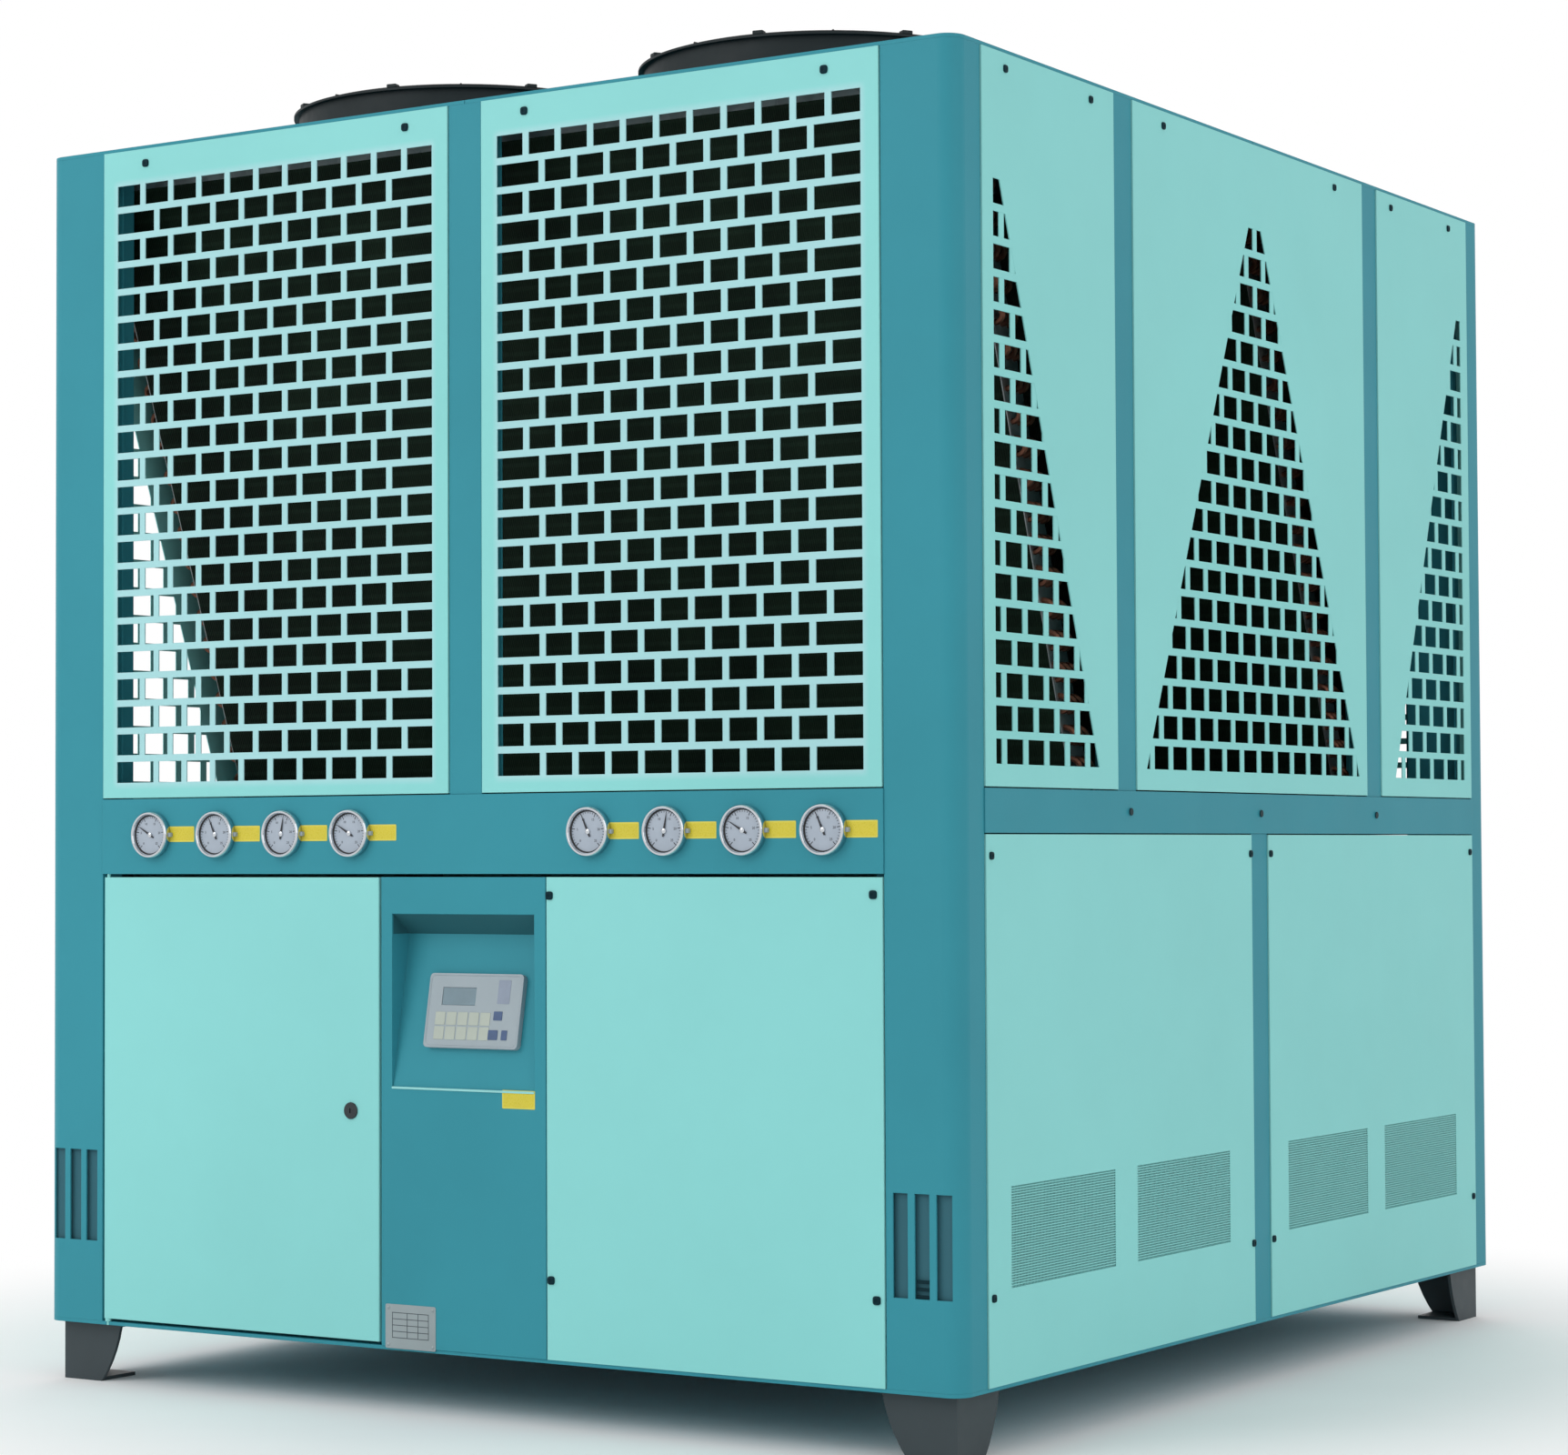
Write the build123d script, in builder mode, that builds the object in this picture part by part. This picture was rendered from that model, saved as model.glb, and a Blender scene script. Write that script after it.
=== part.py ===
from build123d import *

import os
from math import atan2, cos, hypot, radians, sin, tan

# Air-cooled screw chiller in a sheet-metal cabinet on four feet, in millimetres.
# The cabinet is a frame of hollow corner posts, mullions and bands on a base plate, and its panels
# hang on the seat flanges of the posts and mullions. The upper half holds two V-shaped banks of
# condenser coils behind perforated grilles, with two fans over each bank. The lower half holds the
# machine room, the electrical enclosure behind its door, and the control column.
# The origin is on the floor, midway between the four anchor holes. +X is to the right of someone
# who faces the gauges, +Y runs to the rear and +Z is up.

# Cabinet
width = 1810.0
depth = 2044.0
height = 2000.0
base_plate = 6.0
deck_plate = 6.0
deck_seam = 0.5
corner_radius = 30.0

# Feet
foot_height = 100.0
foot_inset = 22.0
foot_top = 128.0
foot_bottom = 84.0
foot_plate = 6.0
foot_bulge = 5.0
anchor_hole_radius = 7.0

# Frame of posts, mullions and bands
post_width = 128.0
post_depth = 75.0
frame_wall = 3.0
seat_depth = 20.0
seat_flange = 25.0
middle_post_width = 64.0
mullion_width = 62.0
mullion_depth = 40.0
mullion_offset = 486.0
band_top = 992.0
front_band_height = 127.0
side_band_height = 67.0
band_screws = (-479.0, 3.0, 489.0)
band_screw_z = 959.0
band_screw_radius = 6.0
band_screw_head = 3.0
rim_height = 40.0
rim_wall = 4.0

# Slots low in the front and rear faces of the posts
slot_width = 25.0
slot_height = 154.0
slot_pitch = 37.0
slot_edge = 66.5
slot_bottom = 241.0
slot_count = 3
slot_cut = 10.0

# Panels
sheet = 2.0
proud = 2.0
panel_gap = 2.0
band_seam = 5.0
moving_gap = 5.5
touch_gap = 0.3

# Brick pattern of square holes in the front grilles
brick_columns = 11
brick_rows = 22
brick_hole_width = 51.0
brick_hole_height = 35.5
brick_pitch_x = 62.7
brick_pitch_z = 46.9
brick_bottom = 1020.0

# Fields of long slots in the side grilles, each a triangle outside a V of coils
field_bottom = 1028.0
field_pitch = 49.4
field_slot_height = 37.5
corner_field_edge = 35.0
corner_field_base = 330.0
corner_field_height = 935.0
middle_field_base = 838.0
middle_field_height = 985.0

# Vents in the lower side panels
vent_width = 336.0
vent_height = 151.0
vent_bottom = 247.0
vent_offset = 206.0
vent_shift = -12.0
screen_sheet = 1.5

# Coils, slabs that lean outward from the machine-room roof to a beam under the deck
coil_thickness = 58.0
coil_length = 1700.0
coil_top = 2050.0
outer_coil_head = 80.0
outer_coil_foot = 452.0
inner_coil_head = 17.0
inner_coil_foot = 436.0
roof_plate = 4.0
roof_fold = 20.0
roof_drop = 2.0

# Fans
fan_x = 370.0
fan_y = 516.0
ring_radius = 305.0
ring_wall = 4.0
ring_height = 90.0
ring_flange = 18.0
ring_flange_thickness = 4.0
ring_lip = 9.0
blade_count = 5
blade_tip_gap = 10.0
blade_root_chord = 96.0
blade_tip_chord = 175.0
blade_root_pitch = 34.0
blade_tip_pitch = 22.0
blade_thickness = 4.0
blade_camber = 9.0
blade_folds = (-1.0, -0.4, 0.4, 1.0)
blade_sweep = 35.0
blade_root_sink = 14.0
hub_radius = 75.0
hub_height = 58.0
hub_dome = 12.0
motor_radius = 60.0
motor_height = 22.0
motor_gap = 6.0
shaft_radius = 9.0
shaft_length = 40.0
guard_wire = 6.0
guard_rings = 3
guard_sides = 16
guard_spokes = 8
guard_rise = 10.0

# Control column and its recess, which deepens upward to a sloping hood
column_left = -170.0
column_right = 158.0
column_depth = 60.0
recess_margin = 22.0
recess_bottom = 522.0
recess_top = 801.0
recess_depth = 45.0
recess_hood = 33.0
operator_x = 4.5
operator_z = 645.0
operator_width = 187.0
operator_height = 120.0
operator_thickness = 9.0
operator_radius = 8.0
screen_width = 67.0
screen_height = 29.0
screen_x = -32.0
screen_z = 23.0
screen_recess = 1.5

# Electrical enclosure, its door and its lock
door_depth = 15.0
door_edge_radius = 2.0
pivot_inset = 7.0
pivot_setback = 4.0
pin_radius = 3.0
pin_collar_radius = 5.5
enclosure_depth = 220.0
enclosure_sheet = 3.0
enclosure_top_gap = 6.0
mounting_plate = 3.0
mounting_margin = 25.0
switch_rows = 4
switches_per_row = 5
switch_width = 72.0
switch_height = 90.0
switch_depth = 75.0
switch_pitch_x = 98.0
switch_pitch_z = 160.0
lock_x = -233.0
lock_z = 481.0
lock_bezel_radius = 13.5
lock_bezel = 3.0
lock_body_radius = 9.0
lock_body_length = 10.0
key_slot_length = 8.0
key_slot_width = 2.0

# Gauges in the front band
gauges_per_group = 4
gauge_pitch = 143.5
gauge_group_left = -446.0
gauge_group_right = 461.0
gauge_z = 931.0
gauge_bezel_radius = 40.0
gauge_bezel_depth = 14.0
gauge_bezel_rim = 4.0
gauge_dial_recess = 5.0
gauge_case_radius = 30.0
gauge_case_depth = 34.0

# Water connections in the rear
pipe_x = 430.0
pipe_z_low = 380.0
pipe_z_high = 640.0
pipe_radius = 44.5
pipe_wall = 4.0
pipe_inside = 100.0
pipe_outside = 90.0
flange_radius = 100.0
flange_thickness = 20.0
flange_bolt_circle = 160.0
flange_bolts = 8
flange_bolt_radius = 9.0
collar_radius = 62.0
collar_thickness = 5.0

# Levels and spans that follow from the sizes above
base_top = foot_height + base_plate
cabinet_top = foot_height + height
deck_top = cabinet_top + deck_plate
ring_top = deck_top + ring_height
front_band_bottom = band_top - front_band_height
side_band_bottom = band_top - side_band_height
roof_top = band_top - roof_drop
front_span = width / 2 - post_width
side_span = depth / 2 - post_depth
flange_back = seat_depth + frame_wall
throat_radius = ring_radius - ring_wall

# Work planes on the faces of the frame. Local X runs to the right of someone who looks at the
# face, local Y is up and the normal points out of the cabinet.
front = Plane(origin=(0, -depth / 2, 0), x_dir=(1, 0, 0), z_dir=(0, -1, 0))
rear = Plane(origin=(0, depth / 2, 0), x_dir=(-1, 0, 0), z_dir=(0, 1, 0))
right = Plane(origin=(width / 2, 0, 0), x_dir=(0, 1, 0), z_dir=(1, 0, 0))
left = Plane(origin=(-width / 2, 0, 0), x_dir=(0, -1, 0), z_dir=(-1, 0, 0))


def save(part, name):
    """Labels a finished piece and writes it under its own name."""
    part.label = name
    export_step(part, f"parts/{name}.step")


def span(x_low, x_high, z_low, z_high, mode=Mode.ADD):
    """Draws a rectangle between two heights and two sides in the current sketch."""
    with Locations(((x_low + x_high) / 2, (z_low + z_high) / 2)):
        Rectangle(x_high - x_low, z_high - z_low, mode=mode)


def mirrored(part, plane):
    """Returns the mirror image of a piece."""
    with BuildPart() as copy:
        mirror(part, about=plane)
    return copy.part


def fold_edges(face, x_low, x_high, z_low, z_high, back):
    """Adds the folded edges behind a panel's sheet, back to the seat flanges."""
    with BuildSketch(face.offset(proud - sheet)) as edges:
        span(x_low, x_high, z_low, z_high)
        span(x_low + sheet, x_high - sheet, z_low + sheet, z_high - sheet, mode=Mode.SUBTRACT)
    extrude(edges.sketch, amount=-(back + proud - sheet))


def panel(face, x_low, x_high, z_low, z_high):
    """Adds a sheet-metal panel with folded edges that seats on the flanges behind it."""
    with BuildSketch(face.offset(proud)) as plate:
        span(x_low, x_high, z_low, z_high)
    extrude(plate.sketch, amount=-sheet)
    fold_edges(face, x_low, x_high, z_low, z_high, seat_depth)


def channel(face, x_middle, channel_width, z_low, z_high):
    """Adds a hollow upright with a seat flange along both sides."""
    base = Plane(origin=face.origin + Vector(0, 0, z_low), x_dir=face.x_dir, z_dir=(0, 0, 1))
    half = channel_width / 2
    with BuildSketch(base) as section:
        span(x_middle - half, x_middle + half, 0, mullion_depth)
        span(x_middle - half + frame_wall, x_middle + half - frame_wall, frame_wall,
             mullion_depth - frame_wall, mode=Mode.SUBTRACT)
        span(x_middle - half - seat_flange, x_middle - half, seat_depth, flange_back)
        span(x_middle + half, x_middle + half + seat_flange, seat_depth, flange_back)
    extrude(section.sketch, amount=z_high - z_low)


# Base frame and feet

def base_frame():
    """The base plate with an upstanding rim along each side and sockets for the hinge pin."""
    rim_middle = flange_back + rim_wall / 2
    with BuildPart() as base:
        with BuildSketch(Plane.XY.offset(foot_height)):
            RectangleRounded(width, depth, corner_radius)
            with Locations(door_pivot):
                Circle(pin_radius + touch_gap, mode=Mode.SUBTRACT)
        extrude(amount=base_plate)
        with BuildSketch(Plane.XY.offset(base_top)):
            with Locations((0, depth / 2 - rim_middle), (0, rim_middle - depth / 2)):
                Rectangle(2 * front_span, rim_wall)
            with Locations((width / 2 - rim_middle, 0), (rim_middle - width / 2, 0)):
                Rectangle(rim_wall, 2 * side_span)
            with Locations((0, depth / 2 - rim_middle)):
                Rectangle(middle_post_width, rim_wall, mode=Mode.SUBTRACT)
            with Locations(((column_left + column_right) / 2, rim_middle - depth / 2)):
                Rectangle(column_right - column_left, rim_wall, mode=Mode.SUBTRACT)
            with Locations((width / 2 - rim_middle, 0), (rim_middle - width / 2, 0)):
                Rectangle(rim_wall, mullion_width, mode=Mode.SUBTRACT)
        extrude(amount=rim_height)
    return base.part


def foot():
    """The front right foot: two tapering cheeks between a top plate and an anchor plate."""
    outer_x = width / 2 - foot_inset
    outer_y = -depth / 2 + foot_inset
    inner_top = outer_x - foot_top
    inner_bottom = outer_x - foot_bottom
    with BuildPart() as bracket:
        with BuildSketch(Plane(origin=(0, outer_y, 0), x_dir=(1, 0, 0), z_dir=(0, -1, 0))):
            with BuildLine():
                Line((inner_bottom, 0), (outer_x, 0))
                Line((outer_x, 0), (outer_x, foot_height))
                Line((outer_x, foot_height), (inner_top, foot_height))
                ThreePointArc((inner_top, foot_height),
                              ((inner_top + inner_bottom) / 2 - foot_bulge, foot_height / 2 - foot_bulge),
                              (inner_bottom, 0))
            make_face()
        extrude(amount=-foot_plate)
        cheek = bracket.part
        with BuildSketch(Plane.XY):
            with Locations((outer_x - foot_bottom / 2, outer_y + foot_bottom / 2)):
                Rectangle(foot_bottom, foot_bottom)
                Circle(anchor_hole_radius, mode=Mode.SUBTRACT)
        extrude(amount=foot_plate)
        with BuildSketch(Plane.XY.offset(foot_height)):
            with Locations((outer_x - foot_top / 2, outer_y + foot_top / 2)):
                Rectangle(foot_top, foot_top)
        extrude(amount=-foot_plate)
        diagonal = Plane(origin=(outer_x, outer_y, 0), x_dir=(0, 0, 1), z_dir=(1, 1, 0))
        mirror(cheek, about=diagonal)
    return bracket.part


def feet():
    """All four feet, each the mirror image of its neighbours."""
    with BuildPart() as four:
        add(foot())
        mirror(about=Plane.YZ)
        mirror(about=Plane.XZ)
    return four.part


# Posts, mullions and bands

def corner_post():
    """The front right post, hollow, with seat flanges for two panels and slots low in its front."""
    flange_x = width / 2 - flange_back
    flange_y = -depth / 2 + flange_back
    with BuildPart() as post:
        with BuildSketch(Plane.XY.offset(base_top)) as section:
            span(front_span, width / 2, -depth / 2, -side_span)
            fillet(section.vertices().group_by(Axis.X)[-1].sort_by(Axis.Y)[0], corner_radius)
            offset(amount=-frame_wall, mode=Mode.SUBTRACT)
            span(front_span - seat_flange, front_span, flange_y - frame_wall, flange_y)
            span(flange_x, flange_x + frame_wall, -side_span, seat_flange - side_span)
        extrude(amount=cabinet_top - base_top)
        with BuildSketch(front):
            with Locations((width / 2 - slot_edge, slot_bottom + slot_height / 2)):
                with GridLocations(slot_pitch, 0, slot_count, 1):
                    Rectangle(slot_width, slot_height)
        extrude(amount=-slot_cut, mode=Mode.SUBTRACT)
    return post.part


def front_middle_post():
    """The upright between the two front grilles."""
    with BuildPart() as post:
        channel(front, 0, middle_post_width, band_top, cabinet_top)
    return post.part


def rear_middle_posts():
    """The uprights between the rear grilles and between the rear lower panels."""
    with BuildPart() as posts:
        channel(rear, 0, middle_post_width, band_top, cabinet_top)
        channel(rear, 0, middle_post_width, base_top, side_band_bottom)
    return posts.part


def side_mullions(face):
    """Two uprights between the three grilles of a side, and one between its lower panels."""
    with BuildPart() as mullions:
        for place in (-mullion_offset, mullion_offset):
            channel(face, place, mullion_width, band_top, cabinet_top)
        channel(face, 0, mullion_width, base_top, side_band_bottom)
    return mullions.part


def rear_band():
    """The folded band across the rear at mid-height."""
    with BuildPart() as band:
        panel(rear, -front_span, front_span, side_band_bottom, band_top)
    return band.part


def right_band():
    """The folded band across the right side at mid-height, with its screw heads."""
    with BuildPart() as band:
        panel(right, -side_span, side_span, side_band_bottom, band_top)
        with BuildSketch(right.offset(proud)) as heads:
            with Locations([(y, band_screw_z) for y in band_screws]):
                Circle(band_screw_radius)
        extrude(heads.sketch, amount=band_screw_head)
    return band.part


def gauge_places():
    """The X of each gauge in the front band."""
    first = -(gauges_per_group - 1) / 2
    groups = (gauge_group_left, gauge_group_right)
    return [group + (first + n) * gauge_pitch for group in groups for n in range(gauges_per_group)]


def front_gauge_band():
    """The front band with a round hole for each gauge and a socket for the upper hinge pin."""
    with BuildPart() as band:
        panel(front, -front_span, front_span, front_band_bottom, band_top)
        with BuildSketch(front.offset(proud)):
            with Locations([(x, gauge_z) for x in gauge_places()]):
                Circle(gauge_case_radius)
        extrude(amount=-sheet, mode=Mode.SUBTRACT)
        with BuildSketch(Plane.XY.offset(front_band_bottom)):
            with Locations(door_pivot):
                Circle(pin_radius + touch_gap)
        extrude(amount=sheet, mode=Mode.SUBTRACT)
    return band.part


def machine_room_roof():
    """The plate over the machine room, notched round the posts, with its edges folded down."""
    half_x = width / 2 - seat_depth
    half_y = depth / 2 - seat_depth
    notch_x = front_span - seat_flange
    notch_y = side_span - seat_flange
    with BuildPart() as roof:
        with BuildSketch(Plane.XY.offset(roof_top)):
            Rectangle(2 * half_x, 2 * notch_y)
            Rectangle(2 * notch_x, 2 * half_y)
        extrude(amount=-roof_plate)
        with BuildSketch(Plane.XY.offset(roof_top - roof_plate)):
            Rectangle(2 * half_x, 2 * notch_y)
            Rectangle(2 * notch_x, 2 * half_y)
            offset(amount=-sheet, mode=Mode.SUBTRACT)
        extrude(amount=-roof_fold)
    return roof.part


# Upper panels

def brick_grille(x_low, x_high):
    """A front grille: rows of square holes laid like bricks, with wide holes at the ends of
    every other row."""
    z_low = band_top + panel_gap
    middle = (x_low + x_high) / 2
    wide = brick_pitch_x * 1.5 - (brick_pitch_x - brick_hole_width)
    half_row = ((brick_columns - 1) * brick_pitch_x + brick_hole_width) / 2
    squares = []
    end_holes = []
    for row in range(brick_rows):
        z = brick_bottom + brick_hole_height / 2 + row * brick_pitch_z
        full = row % 2 == 1
        count = brick_columns if full else brick_columns - 3
        first = middle - (count - 1) / 2 * brick_pitch_x
        squares += [(first + n * brick_pitch_x, z) for n in range(count)]
        if not full:
            reach = half_row - wide / 2
            end_holes += [(middle - reach, z), (middle + reach, z)]
    with BuildPart() as grille:
        with BuildSketch(front.offset(proud)):
            span(x_low, x_high, z_low, cabinet_top)
            with Locations(squares):
                Rectangle(brick_hole_width, brick_hole_height, mode=Mode.SUBTRACT)
            with Locations(end_holes):
                Rectangle(wide, brick_hole_height, mode=Mode.SUBTRACT)
        extrude(amount=-sheet)
        fold_edges(front, x_low, x_high, z_low, cabinet_top, seat_depth)
    return grille.part


def row_slots(face, x_low, x_high):
    """Cuts one long slot for each row of holes of a rear grille."""
    middle = (x_low + x_high) / 2
    length = (brick_columns - 1) * brick_pitch_x + brick_hole_width
    with BuildSketch(face.offset(proud)) as slots:
        with Locations((middle, brick_bottom + brick_hole_height / 2 + (brick_rows - 1) / 2 * brick_pitch_z)):
            with GridLocations(0, brick_pitch_z, 1, brick_rows):
                Rectangle(length, brick_hole_height)
    extrude(slots.sketch, amount=-sheet, mode=Mode.SUBTRACT)


def rear_grilles():
    """The two rear grilles."""
    with BuildPart() as grilles:
        for low, high in ((-front_span + panel_gap, -middle_post_width / 2 - panel_gap),
                          (middle_post_width / 2 + panel_gap, front_span - panel_gap)):
            panel(rear, low, high, band_top + panel_gap, cabinet_top)
            row_slots(rear, low, high)
    return grilles.part


def triangle_slots(face, left_edge, right_edge, field_height):
    """Cuts a triangle of rows of long slots. Each edge is given by its X at the field's base
    and at its apex."""
    rows = int(field_height / field_pitch)
    with BuildSketch(face.offset(proud)) as slots:
        for row in range(rows):
            corners = []
            for rise in (row * field_pitch, row * field_pitch + field_slot_height):
                share = rise / field_height
                low = left_edge[0] + (left_edge[1] - left_edge[0]) * share
                high = right_edge[0] + (right_edge[1] - right_edge[0]) * share
                corners += [(low, field_bottom + rise), (high, field_bottom + rise)]
            with BuildLine():
                Polyline(corners[0], corners[1], corners[3], corners[2], close=True)
            make_face()
    extrude(slots.sketch, amount=-sheet, mode=Mode.SUBTRACT)


def middle_side_grille(face):
    """The middle grille of a side, with a field that narrows from both sides."""
    half = mullion_offset - mullion_width / 2 - panel_gap
    with BuildPart() as grille:
        panel(face, -half, half, band_top + panel_gap, cabinet_top)
        half_base = middle_field_base / 2
        triangle_slots(face, (-half_base, 0), (half_base, 0), middle_field_height)
    return grille.part


def corner_side_grille(face, side):
    """A grille beside a corner post, with a field that narrows from the inner side."""
    outer = side_span - panel_gap
    inner = mullion_offset + mullion_width / 2 + panel_gap
    edge = side_span - corner_field_edge
    low, high = sorted((side * inner, side * outer))
    with BuildPart() as grille:
        panel(face, low, high, band_top + panel_gap, cabinet_top)
        if side < 0:
            triangle_slots(face, (-edge, -edge), (corner_field_base - edge, -edge), corner_field_height)
        else:
            triangle_slots(face, (edge - corner_field_base, edge), (edge, edge), corner_field_height)
    return grille.part


# Lower panels and vents

def front_lower_panel():
    """The screwed panel to the right of the control column."""
    with BuildPart() as plate:
        panel(front, column_right + panel_gap, front_span - panel_gap, base_top, front_band_bottom - band_seam)
    return plate.part


def rear_lower_panels():
    """The two rear lower panels, one with holes for the water pipes."""
    half = middle_post_width / 2
    with BuildPart() as plates:
        for low, high in ((-front_span + panel_gap, -half - panel_gap), (half + panel_gap, front_span - panel_gap)):
            panel(rear, low, high, base_top, side_band_bottom - panel_gap)
        with BuildSketch(rear.offset(proud)):
            with Locations((pipe_x, pipe_z_low), (pipe_x, pipe_z_high)):
                Circle(pipe_radius + touch_gap)
        extrude(amount=-sheet, mode=Mode.SUBTRACT)
    return plates.part


def vent_places():
    """The X of each vent on a side face."""
    middle = (side_span + mullion_width / 2) / 2
    return [side * middle + vent_shift + way * vent_offset for side in (-1, 1) for way in (-1, 1)]


def side_lower_panels(face):
    """The two lower panels of a side, each with two vent windows."""
    half = mullion_width / 2
    with BuildPart() as plates:
        for low, high in ((-side_span + panel_gap, -half - panel_gap), (half + panel_gap, side_span - panel_gap)):
            panel(face, low, high, base_top, side_band_bottom - panel_gap)
        with BuildSketch(face.offset(proud)):
            with Locations([(x, vent_bottom + vent_height / 2) for x in vent_places()]):
                Rectangle(vent_width, vent_height)
        extrude(amount=-sheet, mode=Mode.SUBTRACT)
    return plates.part


def vent_screens():
    """The eight screens that fill the vent windows of both sides."""
    with BuildPart() as screens:
        for face in (right, left):
            with BuildSketch(face.offset(proud)):
                with Locations([(x, vent_bottom + vent_height / 2) for x in vent_places()]):
                    Rectangle(vent_width, vent_height)
            extrude(amount=-screen_sheet)
    return screens.part


# Control column

def control_column():
    """The column between door and panel, open at the back, with the recess for the operator."""
    z_high = front_band_bottom - band_seam
    recess_left = column_left + recess_margin
    recess_right = column_right - recess_margin
    hood_z = recess_top - recess_hood
    with BuildPart() as column:
        panel(front, column_left, column_right, base_top, z_high)
        with BuildSketch(front.offset(-seat_depth)):
            span(column_left, column_right, base_top, z_high)
            span(column_left + sheet, column_right - sheet, base_top + sheet, z_high - sheet, mode=Mode.SUBTRACT)
        extrude(amount=seat_depth - column_depth)
        with BuildSketch(Plane.YZ.offset(recess_left - sheet)):
            with BuildLine():
                Polyline((-depth / 2, recess_bottom - sheet), (-depth / 2 + recess_depth + sheet, hood_z),
                         (-depth / 2 + recess_depth + sheet, hood_z + sheet), (-depth / 2, recess_top + sheet),
                         (-depth / 2, recess_bottom - sheet))
            make_face()
        extrude(amount=recess_right - recess_left + 2 * sheet)
        with BuildSketch(Plane.YZ.offset(recess_left)):
            with BuildLine():
                Polyline((-depth / 2 - proud, recess_bottom), (-depth / 2, recess_bottom),
                         (-depth / 2 + recess_depth, hood_z), (-depth / 2, recess_top),
                         (-depth / 2 - proud, recess_top), (-depth / 2 - proud, recess_bottom))
            make_face()
        extrude(amount=recess_right - recess_left, mode=Mode.SUBTRACT)
        with BuildSketch(front.offset(-seat_depth)):
            span(column_left - seat_flange, column_left, base_top, z_high)
            span(column_right, column_right + seat_flange, base_top, z_high)
        extrude(amount=-frame_wall)
    return column.part


def control_operator():
    """The key panel with its screen, on the sloping back of the recess."""
    slope = atan2(recess_depth, recess_top - recess_hood - recess_bottom)
    rise = operator_z - recess_bottom
    seat = Plane(origin=(operator_x, -depth / 2 + rise * tan(slope), operator_z), x_dir=(1, 0, 0),
                 z_dir=(0, -cos(slope), sin(slope)))
    with BuildPart() as operator:
        with BuildSketch(seat):
            RectangleRounded(operator_width, operator_height, operator_radius)
        extrude(amount=operator_thickness)
        with BuildSketch(seat.offset(operator_thickness)):
            with Locations((screen_x, screen_z)):
                Rectangle(screen_width, screen_height)
        extrude(amount=-screen_recess, mode=Mode.SUBTRACT)
    return operator.part


# Electrical enclosure

door_left = -front_span + moving_gap
door_right = column_left - moving_gap
door_bottom = base_top + moving_gap
door_top = front_band_bottom - moving_gap
door_front = -depth / 2 - proud
door_pivot = (door_left + pivot_inset, door_front + pivot_setback)


def electrical_door():
    """The folded door with its hinge pins, which turn in the base plate and the gauge band."""
    middle_x = (door_left + door_right) / 2
    middle_z = (door_bottom + door_top) / 2
    door_face = front.offset(proud)
    with BuildPart() as door:
        with BuildSketch(door_face):
            with Locations((middle_x, middle_z)):
                Rectangle(door_right - door_left, door_top - door_bottom)
        extrude(amount=-door_depth)
        uprights = door.edges().filter_by(Axis.Z).group_by(Axis.Y)[0]
        fillet(uprights, door_edge_radius)
        inner_left = door_left + 2 * pivot_inset
        with BuildSketch(front.offset(proud - door_depth)):
            span(inner_left, door_right - sheet, door_bottom + sheet, door_top - sheet)
        extrude(amount=door_depth - sheet, mode=Mode.SUBTRACT)
        for face_z, reach in ((door_top, moving_gap + sheet), (door_bottom, -moving_gap - base_plate)):
            with BuildSketch(Plane.XY.offset(face_z)):
                with Locations(door_pivot):
                    Circle(pin_radius)
            extrude(amount=reach)
        with BuildSketch(Plane.XY.offset(door_bottom)):
            with Locations(door_pivot):
                Circle(pin_collar_radius)
        extrude(amount=-(moving_gap - touch_gap))
        with BuildSketch(door_face):
            with Locations((lock_x, lock_z)):
                Circle(lock_body_radius + touch_gap)
        extrude(amount=-sheet, mode=Mode.SUBTRACT)
    return door.part


def door_lock():
    """The round lock: a bezel on the door's face and a body through its sheet."""
    face = front.offset(proud)
    with BuildPart() as lock:
        with BuildSketch(face):
            with Locations((lock_x, lock_z)):
                Circle(lock_bezel_radius)
        extrude(amount=lock_bezel)
        rim = lock.edges().filter_by(GeomType.CIRCLE).group_by(Axis.Y)[0]
        chamfer(rim, lock_bezel / 3)
        with BuildSketch(face):
            with Locations((lock_x, lock_z)):
                Circle(lock_body_radius)
        extrude(amount=-lock_body_length)
        with BuildSketch(face.offset(lock_bezel)):
            with Locations((lock_x, lock_z)):
                Rectangle(key_slot_width, key_slot_length)
        extrude(amount=-2 * lock_bezel, mode=Mode.SUBTRACT)
    return lock.part


def electrical_enclosure():
    """The steel box behind the door, open to the front, standing on the rim of the base."""
    opening = front.offset(-flange_back)
    x_low = -front_span
    x_high = column_left - seat_flange / 2
    z_low = base_top + rim_height
    z_high = front_band_bottom - enclosure_top_gap
    inner = (x_low + enclosure_sheet, x_high - enclosure_sheet, z_low + enclosure_sheet, z_high - enclosure_sheet)
    with BuildPart() as box:
        with BuildSketch(opening):
            span(x_low, x_high, z_low, z_high)
        extrude(amount=-enclosure_depth)
        with BuildSketch(opening):
            span(*inner)
        extrude(amount=enclosure_sheet - enclosure_depth, mode=Mode.SUBTRACT)
    return box.part


def switchgear():
    """The mounting plate on the back of the enclosure, with rows of switching devices."""
    x_low = -front_span + mounting_margin
    x_high = column_left - seat_flange / 2 - mounting_margin
    z_low = base_top + rim_height + mounting_margin
    z_high = front_band_bottom - enclosure_top_gap - mounting_margin
    seat = front.offset(enclosure_sheet - flange_back - enclosure_depth)
    with BuildPart() as plate:
        with BuildSketch(seat):
            span(x_low, x_high, z_low, z_high)
        extrude(amount=mounting_plate)
        with BuildSketch(seat.offset(mounting_plate)):
            with Locations(((x_low + x_high) / 2, (z_low + z_high) / 2)):
                with GridLocations(switch_pitch_x, switch_pitch_z, switches_per_row, switch_rows):
                    Rectangle(switch_width, switch_height)
        extrude(amount=switch_depth)
    return plate.part


# Gauges

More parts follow.
